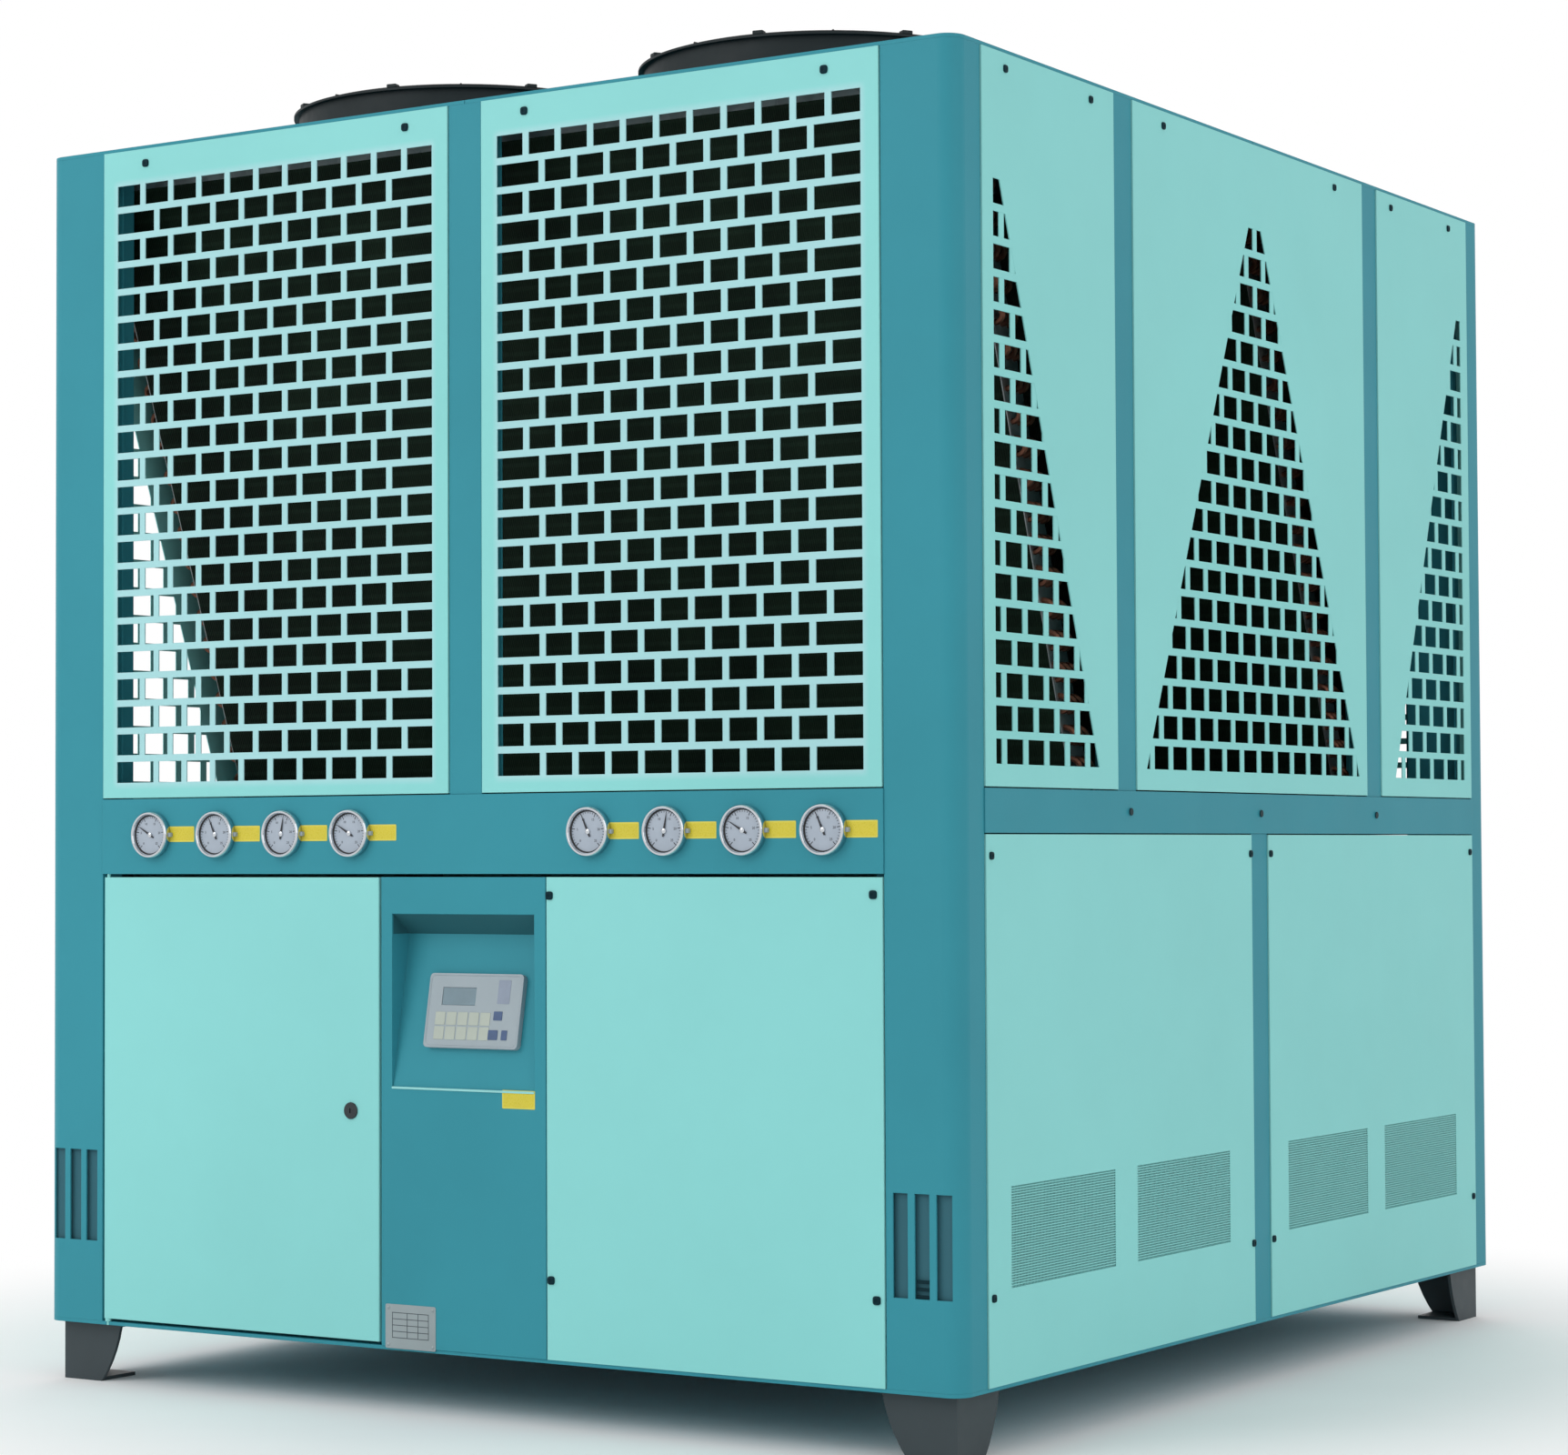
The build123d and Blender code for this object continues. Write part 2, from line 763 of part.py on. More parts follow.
def pressure_gauges():
    """Eight round gauges, each a dished bezel on the band and a case behind it."""
    face = front.offset(proud)
    places = [(x, gauge_z) for x in gauge_places()]
    with BuildPart() as gauges:
        with BuildSketch(face):
            with Locations(places):
                Circle(gauge_bezel_radius)
        extrude(amount=gauge_bezel_depth)
        with BuildSketch(face.offset(gauge_bezel_depth)):
            with Locations(places):
                Circle(gauge_bezel_radius - gauge_bezel_rim)
        extrude(amount=-gauge_dial_recess, mode=Mode.SUBTRACT)
        with BuildSketch(face):
            with Locations(places):
                Circle(gauge_case_radius - touch_gap)
        extrude(amount=-gauge_case_depth)
    return gauges.part


# Coils, beams and deck

def coil_section(head, foot):
    """The corner points of a coil's section: head and foot are the Y of its outer face."""
    width_y = coil_thickness * hypot(head - foot, coil_top - roof_top) / (coil_top - roof_top)
    inward = width_y if head < foot else -width_y
    return [(foot, roof_top), (head, coil_top), (head + inward, coil_top), (foot + inward, roof_top)]


outer_coil = coil_section(-depth / 2 + outer_coil_head, -depth / 2 + outer_coil_foot)
inner_coil = coil_section(-inner_coil_head, -inner_coil_foot)


def condenser_coils():
    """The front V of coils: two slabs that lean outward from the roof of the machine room."""
    with BuildPart() as coils:
        for section in (outer_coil, inner_coil):
            with BuildSketch(Plane.YZ):
                with BuildLine():
                    Polyline(*section, close=True)
                make_face()
            extrude(amount=coil_length / 2, both=True)
    return coils.part


def deck_beams():
    """The four beams under the deck that hold the coils' heads."""
    with BuildPart() as beams:
        with BuildSketch(Plane.XY.offset(coil_top)):
            for section in (outer_coil, inner_coil):
                low, high = sorted((section[1][0], section[2][0]))
                span(-coil_length / 2, coil_length / 2, low, high)
        extrude(amount=cabinet_top - coil_top)
        mirror(about=Plane.XZ)
    return beams.part


fan_places = [(-fan_x, -fan_y), (fan_x, -fan_y), (-fan_x, fan_y), (fan_x, fan_y)]


def deck_sheet():
    """The top plate over the front right fan, with a round throat."""
    with BuildPart() as deck:
        with BuildSketch(Plane.XY.offset(cabinet_top)) as plate:
            span(deck_seam, width / 2, -depth / 2, -deck_seam)
            fillet(plate.vertices().group_by(Axis.X)[-1].sort_by(Axis.Y)[0], corner_radius)
            with Locations((fan_x, -fan_y)):
                Circle(throat_radius, mode=Mode.SUBTRACT)
        extrude(plate.sketch, amount=deck_plate)
    return deck.part


# Fans, each modelled on the Z axis and then set over its throat

def fan_shroud():
    """A round shroud with a foot flange and a turned-out lip."""
    with BuildPart() as shroud:
        with BuildSketch(Plane(origin=(0, 0, deck_top), x_dir=(1, 0, 0), z_dir=(0, -1, 0))):
            span(throat_radius, ring_radius, 0, ring_height)
            span(throat_radius, ring_radius + ring_flange, 0, ring_flange_thickness)
            span(throat_radius, ring_radius + ring_lip, ring_height - ring_wall, ring_height)
        revolve(axis=Axis.Z)
    return shroud.part


def guard_ring(radius, rise):
    """Adds one ring of the guard, a bar of square section bent to a polygon."""
    with BuildSketch(Plane.XY.offset(ring_top + rise)) as ring:
        RegularPolygon(radius + guard_wire / 2, guard_sides)
        RegularPolygon(radius - guard_wire / 2, guard_sides, mode=Mode.SUBTRACT)
    extrude(ring.sketch, amount=guard_wire)


def fan_guard():
    """A guard of rings and spokes that rises a little from the shroud's lip to the motor."""
    rim = throat_radius + guard_wire / 2
    step = (rim - motor_radius) / guard_rings
    with BuildPart() as guard:
        for n in range(guard_rings):
            guard_ring(rim - n * step, guard_rise * n / guard_rings)
        for n in range(guard_spokes):
            turn = radians(360 / guard_spokes * (n + 0.5))
            along = (cos(turn), sin(turn), 0)
            across = (sin(turn), -cos(turn), 0)
            with BuildSketch(Plane(origin=(0, 0, ring_top), x_dir=along, z_dir=across)):
                with BuildLine():
                    Polyline((rim, 0), (rim, guard_wire), (motor_radius, guard_rise + guard_wire),
                             (motor_radius, guard_rise), close=True)
                make_face()
            extrude(amount=guard_wire / 2, both=True)
        with BuildSketch(Plane.XY.offset(ring_top + guard_rise)):
            Circle(motor_radius + guard_wire)
        extrude(amount=guard_wire)
    return guard.part


def fan_motor():
    """The fixed half of the motor, under the middle of the guard, with its shaft."""
    top = ring_top + guard_rise
    with BuildPart() as motor:
        with BuildSketch(Plane.XY.offset(top)):
            Circle(motor_radius)
        extrude(amount=-motor_height)
        with BuildSketch(Plane.XY.offset(top - motor_height)):
            Circle(shaft_radius)
        extrude(amount=-(motor_gap + shaft_length))
    return motor.part


def blade_section(radius, chord, pitch, sweep, z):
    """Draws a blade's cambered section on a plane at a radius from the fan's axis, along +X.
    The leading edge is low, so that the fan draws air up as it turns about +Z."""
    plane = Plane(origin=(radius, sweep, z), x_dir=(0, cos(radians(pitch)), -sin(radians(pitch))),
                  z_dir=(1, 0, 0))
    camber = [(share * chord / 2, blade_camber * (share ** 2 - 1)) for share in blade_folds]
    upper = [(x, sag + blade_thickness / 2) for x, sag in camber]
    lower = [(x, sag - blade_thickness / 2) for x, sag in reversed(camber)]
    with BuildSketch(plane) as section:
        with BuildLine():
            Polyline(*upper, *lower, close=True)
        make_face()
    return section.sketch


def fan_rotor():
    """The turning half: a domed hub on the shaft and a ring of twisted, swept blades."""
    hub_top = ring_top + guard_rise - motor_height - motor_gap
    middle = hub_top - hub_height / 2
    root = blade_section(hub_radius - blade_root_sink, blade_root_chord, blade_root_pitch, 0, middle)
    tip = blade_section(throat_radius, blade_tip_chord, blade_tip_pitch, blade_sweep, middle)
    with BuildPart() as blade:
        loft([root, tip], ruled=True)
        with BuildSketch(Plane.XY.offset(cabinet_top)):
            Circle(throat_radius - blade_tip_gap)
        extrude(amount=ring_top - cabinet_top, mode=Mode.INTERSECT)
    with BuildPart() as rotor:
        with BuildSketch(Plane.XY.offset(hub_top - hub_height)):
            Circle(hub_radius)
        extrude(amount=hub_height)
        lower_rim = rotor.edges().filter_by(GeomType.CIRCLE).group_by(Axis.Z)[0]
        fillet(lower_rim, hub_dome)
        for n in range(blade_count):
            add(blade.part, rotation=(0, 0, 360 / blade_count * n))
        with BuildSketch(Plane.XY.offset(hub_top)):
            Circle(shaft_radius + touch_gap)
        extrude(amount=-(shaft_length + touch_gap), mode=Mode.SUBTRACT)
    return rotor.part


def placed(part, place):
    """Returns a copy of a fan's piece, moved from the Z axis to its place."""
    with BuildPart() as copy:
        with Locations((*place, 0)):
            add(part)
    return copy.part


# Water connections

def water_connections():
    """Two flanged pipe ends through the rear panel, each with a collar against it."""
    with BuildPart() as pipes:
        for z in (pipe_z_low, pipe_z_high):
            for start, radius, length in ((proud + pipe_outside, pipe_radius, -pipe_outside - pipe_inside),
                                          (proud, collar_radius, collar_thickness),
                                          (proud + pipe_outside, flange_radius, -flange_thickness)):
                with BuildSketch(rear.offset(start)):
                    with Locations((pipe_x, z)):
                        Circle(radius)
                extrude(amount=length)
            with BuildSketch(rear.offset(proud + pipe_outside)):
                with Locations((pipe_x, z)):
                    with PolarLocations(flange_bolt_circle / 2, flange_bolts, start_angle=180 / flange_bolts):
                        Circle(flange_bolt_radius)
            extrude(amount=-flange_thickness, mode=Mode.SUBTRACT)
            with BuildSketch(rear.offset(proud + pipe_outside)):
                with Locations((pipe_x, z)):
                    Circle(pipe_radius - pipe_wall)
            extrude(amount=-pipe_outside - pipe_inside, mode=Mode.SUBTRACT)
    return pipes.part


def main():
    """Builds every piece and writes it to its own file."""
    os.makedirs("parts", exist_ok=True)
    save(base_frame(), "base_frame")
    save(feet(), "feet")
    front_right_post = corner_post()
    front_left_post = mirrored(front_right_post, Plane.YZ)
    save(front_right_post, "post_front_right")
    save(front_left_post, "post_front_left")
    save(mirrored(front_right_post, Plane.XZ), "post_rear_right")
    save(mirrored(front_left_post, Plane.XZ), "post_rear_left")
    save(front_middle_post(), "front_middle_post")
    save(rear_middle_posts(), "rear_middle_posts")
    save(side_mullions(right), "right_mullions")
    save(side_mullions(left), "left_mullions")
    save(front_gauge_band(), "front_gauge_band")
    save(rear_band(), "rear_band")
    save(right_band(), "right_band")
    save(mirrored(right_band(), Plane.YZ), "left_band")
    save(machine_room_roof(), "machine_room_roof")
    save(brick_grille(-front_span + panel_gap, -middle_post_width / 2 - panel_gap), "front_left_grille")
    save(brick_grille(middle_post_width / 2 + panel_gap, front_span - panel_gap), "front_right_grille")
    save(rear_grilles(), "rear_grilles")
    for face, name in ((right, "right"), (left, "left")):
        save(corner_side_grille(face, -1), f"{name}_grille_1")
        save(middle_side_grille(face), f"{name}_grille_2")
        save(corner_side_grille(face, 1), f"{name}_grille_3")
        save(side_lower_panels(face), f"{name}_lower_panels")
    save(front_lower_panel(), "front_lower_panel")
    save(rear_lower_panels(), "rear_lower_panels")
    save(vent_screens(), "vent_screens")
    save(control_column(), "control_column")
    save(control_operator(), "control_operator")
    save(electrical_enclosure(), "electrical_enclosure")
    save(switchgear(), "switchgear")
    save(electrical_door(), "electrical_door")
    save(door_lock(), "door_lock")
    save(pressure_gauges(), "pressure_gauges")
    front_coils = condenser_coils()
    save(front_coils, "condenser_coils_front")
    save(mirrored(front_coils, Plane.XZ), "condenser_coils_rear")
    save(deck_beams(), "deck_beams")
    front_right_deck = deck_sheet()
    front_left_deck = mirrored(front_right_deck, Plane.YZ)
    save(front_left_deck, "fan_deck_1")
    save(front_right_deck, "fan_deck_2")
    save(mirrored(front_left_deck, Plane.XZ), "fan_deck_3")
    save(mirrored(front_right_deck, Plane.XZ), "fan_deck_4")
    save(water_connections(), "water_connections")
    for piece, name in ((fan_shroud(), "shroud"), (fan_guard(), "guard"), (fan_motor(), "motor"),
                        (fan_rotor(), "rotor")):
        for number, place in enumerate(fan_places, start=1):
            save(placed(piece, place), f"fan_{name}_{number}")


main()
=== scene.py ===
from math import cos, pi, radians, sin

import bmesh
import bpy
from mathutils import Matrix, Vector


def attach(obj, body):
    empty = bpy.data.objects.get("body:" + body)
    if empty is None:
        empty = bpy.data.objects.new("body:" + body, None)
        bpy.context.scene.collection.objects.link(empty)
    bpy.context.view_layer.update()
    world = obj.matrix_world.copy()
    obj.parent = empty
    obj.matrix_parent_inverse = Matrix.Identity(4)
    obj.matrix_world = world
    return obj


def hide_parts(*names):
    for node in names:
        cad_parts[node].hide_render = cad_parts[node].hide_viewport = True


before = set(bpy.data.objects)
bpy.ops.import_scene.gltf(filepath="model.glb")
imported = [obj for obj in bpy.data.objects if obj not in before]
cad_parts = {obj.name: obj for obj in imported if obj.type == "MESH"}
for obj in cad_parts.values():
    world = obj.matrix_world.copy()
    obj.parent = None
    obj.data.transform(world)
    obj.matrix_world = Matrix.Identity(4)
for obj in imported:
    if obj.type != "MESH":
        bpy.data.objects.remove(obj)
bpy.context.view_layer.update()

# Shapes are stated in millimetres in the row frame, and make() turns them into metres. A
# material's relief and soft edges are in millimetres too. All else is in metres.
HALF_WIDTH = 905        # of the frame
HALF_DEPTH = 1022       # of the frame
PANEL_FACE = 2          # how far panels stand out of the frame
KEY_PANEL = (187, 120)  # width and height
KEY_SEAT = (4.5, -999.5, 645)   # the middle of the key panel's back
KEY_SLOPE = 0.1809      # radians that the key panel leans back
FANS = [(-370, -516), (370, -516), (-370, 516), (370, 516)]
GAUGES = [-661.25, -517.75, -374.25, -230.75, 245.75, 389.25, 532.75, 676.25]
GAUGE_Z = 931


# Faces, which turn (u, v, w) into a point: u to the right of someone who looks at that side, v up,
# w out of the frame's own surface

def front(u, v, w):
    return u, -HALF_DEPTH - w, v


def rear(u, v, w):
    return -u, HALF_DEPTH + w, v


def right(u, v, w):
    return HALF_WIDTH + w, u, v


def left(u, v, w):
    return -HALF_WIDTH - w, -u, v


def keys(u, v, w):
    """The sloping key panel: u and v from its middle, w out of its seat."""
    x, y, z = KEY_SEAT
    back, up = sin(KEY_SLOPE), cos(KEY_SLOPE)
    return x + u, y + v * back - w * up, z + v * up + w * back


def level(x, y):
    """A face that looks up, with its middle over x, y and w from the floor."""
    return lambda u, v, w: (x + u, y + v, w)


def spun(face, turn):
    """A face turned about its own middle."""
    c, s = cos(turn), sin(turn)
    return lambda u, v, w: face(c * u - s * v, s * u + c * v, w)


def coil_end(way, end):
    """An end of the coils: u is y, mirrored for the rear coils, v up, w out to that side."""
    return lambda u, v, w: (end * w, way * u, v)


# Shapes, each a list of points and a list of faces

CORNER_STEPS = 4    # facets of a round corner


def turns(count, first=0):
    """Evenly spaced angles of a full turn."""
    return [2 * pi * (k + first) / count for k in range(count)]


def prism(face, outline, low, high):
    """A plate with that outline, between two heights over a face."""
    n = len(outline)
    points = [face(u, v, w) for w in (low, high) for u, v in outline]
    sides = [(k, (k + 1) % n, n + (k + 1) % n, n + k) for k in range(n)]
    return points, [tuple(range(n)), tuple(range(n, 2 * n))] + sides


def bar(face, u0, u1, v0, v1, low, high):
    return prism(face, [(u0, v0), (u1, v0), (u1, v1), (u0, v1)], low, high)


def rounded(u0, u1, v0, v1, radius):
    """The outline of a rectangle with round corners."""
    middles = ((u1 - radius, v1 - radius, 0), (u0 + radius, v1 - radius, 1),
               (u0 + radius, v0 + radius, 2), (u1 - radius, v0 + radius, 3))
    places = [(u, v, (quarter + k / CORNER_STEPS) * pi / 2)
              for u, v, quarter in middles for k in range(CORNER_STEPS + 1)]
    return [(u + radius * cos(a), v + radius * sin(a)) for u, v, a in places]


def skin(loops, closed=False):
    """Skins a run of loops that all have the same number of points, and caps it unless closed."""
    n = len(loops[0])
    points = [p for loop in loops for p in loop]
    faces = []
    for i in range(len(loops) if closed else len(loops) - 1):
        a, b = i * n, (i + 1) % len(loops) * n
        faces += [(a + k, a + (k + 1) % n, b + (k + 1) % n, b + k) for k in range(n)]
    if not closed:
        faces += [tuple(range(n)), tuple(range(len(points) - n, len(points)))]
    return points, faces


def turned(face, u, v, profile, sides=48, closed=False):
    """Revolves (radius, height) points about a line out of a face at u, v."""
    around = turns(sides)
    return skin([[face(u + r * cos(a), v + r * sin(a), w) for a in around] for r, w in profile],
                closed)


def tube(path, radius, sides):
    """A round bar along a path."""
    path = [Vector(p) for p in path]
    around = turns(sides)
    across = None
    loops = []
    for i, p in enumerate(path):
        along = (path[min(i + 1, len(path) - 1)] - path[max(i - 1, 0)]).normalized()
        across = along.orthogonal() if across is None else across - along * across.dot(along)
        across.normalize()
        other = along.cross(across)
        loops.append([tuple(p + radius * (across * cos(a) + other * sin(a))) for a in around])
    return skin(loops)


def screw(face, u, v, size=6.5):
    """A squarish cover head with a dimple, on a panel."""
    square = [(cos(a), sin(a), size / (cos(a) ** 4 + sin(a) ** 4) ** 0.25) for a in turns(16, 0.5)]
    levels = ((1, 0), (1, 1.9), (0.93, 2.6), (0.8, 3), (0.4, 3), (0.32, 2.1))
    return skin([[face(u + c * r * scale, v + s * r * scale, PANEL_FACE + h) for c, s, r in square]
                 for scale, h in levels])


def pointed(face, u, v, turn, outline, low, high):
    """A prism whose outline is given along and across a line from u, v at that turn."""
    c, s = cos(turn), sin(turn)
    return prism(face, [(u + a * c - b * s, v + a * s + b * c) for a, b in outline], low, high)


def figures(face, u, v, height, text, w):
    """The outline of a number as one shape, lying on a face with its middle at u, v."""
    curve = bpy.data.curves.new("figure", "FONT")
    curve.body = text
    curve.size = height
    curve.extrude = 0.1
    curve.resolution_u = 2
    curve.align_x = "CENTER"
    curve.align_y = "CENTER"
    holder = bpy.data.objects.new("figure", curve)
    flat = bpy.data.meshes.new_from_object(holder)
    points = [face(u + p.co.x, v + p.co.y, w + p.co.z) for p in flat.vertices]
    faces = [tuple(f.vertices) for f in flat.polygons]
    bpy.data.objects.remove(holder)
    bpy.data.curves.remove(curve)
    bpy.data.meshes.remove(flat)
    return points, faces


SMOOTH_BELOW = radians(35)  # sharper angles between faces are shaded as edges
BEVEL_ABOVE = radians(40)   # and those sharper than this are bevelled, if the piece has a bevel


def make(name, shapes, material, body="cabinet", bevel=0.0, stands_for=()):
    """Joins shapes into one piece, which rides on a body and may stand for CAD nodes."""
    mesh = bpy.data.meshes.new(name)
    work = bmesh.new()
    for points, faces in shapes:
        made = [work.verts.new([c / 1000 for c in p]) for p in points]
        for f in faces:
            work.faces.new([made[i] for i in f])
    bmesh.ops.recalc_face_normals(work, faces=work.faces)
    work.to_mesh(mesh)
    work.free()
    mesh.materials.append(material)
    mesh.shade_smooth()
    mesh.set_sharp_from_angle(angle=SMOOTH_BELOW)
    piece = bpy.data.objects.new(name, mesh)
    bpy.context.scene.collection.objects.link(piece)
    if bevel:
        soft = piece.modifiers.new("soft_edges", "BEVEL")
        soft.width = bevel / 1000
        soft.segments = 2
        soft.limit_method = "ANGLE"
        soft.angle_limit = BEVEL_ABOVE
    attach(piece, body)
    if stands_for:
        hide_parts(*stands_for)


# Materials

def srgb(tone, gain=1.0):
    """A screen colour from 0 to 255 as a linear one."""
    return [((c / 255 + 0.055) / 1.055) ** 2.4 * gain for c in tone] + [1.0]


def node(tree, kind, **inputs):
    """Adds a shader node. A socket value is linked, any other is set."""
    made = tree.nodes.new("ShaderNode" + kind)
    for key, value in inputs.items():
        key = key.replace("_", " ")
        if isinstance(value, bpy.types.NodeSocket):
            tree.links.new(value, made.inputs[key])
        elif key in made.inputs:
            made.inputs[key].default_value = value
        else:
            setattr(made, key.replace(" ", "_"), value)
    return made


def combined(tree, operation, *values):
    """The outcome of one or two values in a Math node."""
    made = node(tree, "Math", operation=operation)
    for place, value in enumerate(values):
        tree.links.new(value, made.inputs[place])
    return made.outputs[0]


def ramp(tree, value, *stops):
    """Colours by a value: stops are (place, colour)."""
    made = node(tree, "ValToRGB", Fac=value)
    made.color_ramp.elements[0].position, made.color_ramp.elements[0].color = stops[0]
    made.color_ramp.elements[1].position, made.color_ramp.elements[1].color = stops[-1]
    for place, colour in stops[1:-1]:
        made.color_ramp.elements.new(place).color = colour
    return made.outputs["Color"]


def start(name, **sockets):
    """A material with constant sockets set, and its tree, shader and place in the row frame."""
    made = bpy.data.materials.new(name)
    made.use_nodes = True
    tree = made.node_tree
    shader = tree.nodes["Principled BSDF"]
    for key, value in sockets.items():
        shader.inputs[key.replace("_", " ")].default_value = value
    return made, tree, shader, node(tree, "TexCoord").outputs["Object"]


def finish_with(tree, shader, colour, rough, height, relief, edge=0.0):
    """Links colour, roughness and relief to the shader, with softened edges if asked. Relief and
    edge are in millimetres."""
    tree.links.new(colour, shader.inputs["Base Color"])
    tree.links.new(rough, shader.inputs["Roughness"])
    bump = node(tree, "Bump", Height=height, Strength=1.0, Distance=relief / 1000)
    if edge:
        soft = node(tree, "Bevel", samples=4, Radius=edge / 1000)
        tree.links.new(soft.outputs["Normal"], bump.inputs["Normal"])
    tree.links.new(bump.outputs["Normal"], shader.inputs["Normal"])


def within(tree, place, limits, soft):
    """1 where each named coordinate's distance from zero is between two lengths in metres, else 0,
    with a soft edge of that width."""
    parts = node(tree, "SeparateXYZ", Vector=place)
    mask = None
    for axis, low, high in limits:
        away = combined(tree, "ABSOLUTE", parts.outputs[axis])
        for a, b in ((low - soft, low), (high + soft, high)):
            step = node(tree, "MapRange", Value=away, From_Min=a, From_Max=b).outputs[0]
            mask = step if mask is None else combined(tree, "MULTIPLY", mask, step)
    return mask


def mixed(tree, mask, first, second):
    """The first colour where the mask is 0 and the second where it is 1."""
    mix = node(tree, "Mix", data_type="RGBA")
    for socket, value in zip((mix.inputs[0], mix.inputs[6], mix.inputs[7]), (mask, first, second)):
        tree.links.new(value, socket)
    return mix.outputs[2]


ALONG_X = (1, 30, 30)   # draws a grain out into lines along x


def finish(name, tone, spread, cloud, gloss, grain, relief, edge=0.0, stretch=(1, 1, 1),
           patch=None, **sockets):
    """Uneven tone in clouds, uneven gloss and a fine grain in relief. Cloud and grain are noise
    scales, gloss the least and most roughness. A patch is a second tone, the limits it lies within
    and the width of its edge."""
    made, tree, shader, place = start(name, **sockets)
    clouds = node(tree, "TexNoise", Vector=place, Scale=cloud, Detail=5.0, Roughness=0.6)

    def clouded(shade):
        return ramp(tree, clouds.outputs["Fac"], (0.3, srgb(shade, 1 - spread)),
                    (0.7, srgb(shade, 1 + spread)))

    colour = clouded(tone)
    if patch:
        other = clouded(patch[0])
        colour = mixed(tree, within(tree, place, *patch[1:]), colour, other)
    marks = node(tree, "TexNoise", Vector=place, Scale=cloud * 6, Detail=4.0)
    rough = node(tree, "MapRange", Value=marks.outputs["Fac"], To_Min=gloss[0], To_Max=gloss[1])
    drawn = node(tree, "Mapping", Vector=place, Scale=stretch)
    peel = node(tree, "TexNoise", Vector=drawn.outputs["Vector"], Scale=grain, Detail=2.0)
    finish_with(tree, shader, colour, rough.outputs["Result"], peel.outputs["Fac"], relief, edge)
    return made


def galvanised(name, tone):
    """Zinc spangle."""
    made, tree, shader, place = start(name, Metallic=0.85)
    spangle = node(tree, "TexVoronoi", Vector=place, Scale=45.0)
    grey = node(tree, "SeparateColor", Color=spangle.outputs["Color"])
    colour = ramp(tree, grey.outputs["Red"], (0.0, srgb(tone, 0.82)), (1.0, srgb(tone, 1.1)))
    rough = node(tree, "MapRange", Value=grey.outputs["Green"], To_Min=0.38, To_Max=0.55)
    finish_with(tree, shader, colour, rough.outputs["Result"], grey.outputs["Red"], 0.02)
    return made


def finned(name):
    """Thin dark fins, upright, crossed by the rows of tubes behind them."""
    made, tree, shader, place = start(name, Specular_IOR_Level=0.1)
    fins = node(tree, "TexWave", Vector=place, Scale=80.0, Distortion=0.4, bands_direction="X")
    rows = node(tree, "TexWave", Vector=place, Scale=12.5, Distortion=0.3, bands_direction="Z")
    soot = node(tree, "TexNoise", Vector=place, Scale=9.0, Detail=6.0).outputs["Fac"]
    dark = ramp(tree, soot, (0.3, srgb((10, 26, 18))), (0.75, srgb((22, 40, 28))))
    light = ramp(tree, soot, (0.3, srgb((20, 38, 28))), (0.75, srgb((38, 58, 46))))
    mask = ramp(tree, rows.outputs["Fac"], (0.72, [0, 0, 0, 1]), (0.95, [0.45, 0.45, 0.45, 1]))
    rough = node(tree, "MapRange", Value=fins.outputs["Fac"], To_Min=0.45, To_Max=0.8)
    finish_with(tree, shader, mixed(tree, mask, dark, light), rough.outputs["Result"],
                fins.outputs["Fac"], 0.5)
    return made


def mint_coat(name, edge, patch=None):
    return finish(name, (144, 219, 216), 0.035, 1.6, (0.40, 0.52), 260, 0.012, edge, patch=patch,
                  Specular_IOR_Level=0.16)


def teal_coat(name, patch=None):
    return finish(name, (58, 146, 161), 0.06, 1.6, (0.38, 0.50), 260, 0.014, 1.5, patch=patch,
                  Specular_IOR_Level=0.12)


# Patches are a painted highlight on the paler fields around the holes of the front grilles, the
# dark screw heads of the side bands, and painted shade on the hood at the top of the recess.
mint = mint_coat("mint_powder_coat", 1.2)
teal = teal_coat("teal_powder_coat")
grille_mint_painted_highlight = mint_coat(
    "grille_mint_painted_highlight", 1.0, ((172, 222, 225), [("X", 0.068, 0.742), ("Z", 1.02, 2.04)], 0.012))
band_teal = teal_coat("band_teal", ((14, 48, 54), [("X", 0.9085, 1.0)], 0.0005))
# The darker patch at the top of the recess is painted shade on the hood.
hood_teal_painted_shade = teal_coat(
    "hood_teal_painted_shade", ((46, 98, 106), [("Y", 0.9, 1.0205), ("Z", 0.7685, 0.802)], 0.001))
# A darker teal for the plates behind the slots of the posts, as painted shade.
slot_teal_painted_shade = finish("slot_teal_painted_shade", (58, 106, 118), 0.06, 1.6, (0.45, 0.58), 260, 0.014,
                   Specular_IOR_Level=0.12)
lip_mint = finish("recess_lip_mint", (150, 218, 216), 0.04, 20, (0.35, 0.45), 400, 0.006)
gunmetal = finish("gunmetal", (62, 68, 70), 0.1, 60, (0.18, 0.32), 600, 0.003, Metallic=0.9)
screw_teal = finish("screw_teal", (8, 42, 50), 0.12, 60, (0.45, 0.6), 900, 0.01,
                    Specular_IOR_Level=0.1)
charcoal = finish("charcoal_coat", (34, 42, 44), 0.15, 9, (0.42, 0.60), 350, 0.03, 1.0,
                  Specular_IOR_Level=0.2)
foot_grey = finish("foot_grey_coat", (58, 68, 72), 0.08, 6, (0.42, 0.58), 300, 0.03, 1.0,
                   Specular_IOR_Level=0.3)
black_wire = finish("black_coated_wire", (26, 26, 28), 0.2, 20, (0.35, 0.5), 500, 0.01)
blade_grey = finish("blade_grey", (42, 44, 47), 0.12, 8, (0.4, 0.6), 300, 0.02)
motor_black = finish("motor_black", (34, 35, 37), 0.15, 10, (0.45, 0.65), 400, 0.04)
pipe_grey = finish("pipe_grey", (66, 70, 75), 0.1, 8, (0.4, 0.6), 300, 0.04, 1.0)
zinc = galvanised("zinc_spangle", (166, 172, 174))
fins = finned("dark_fins")
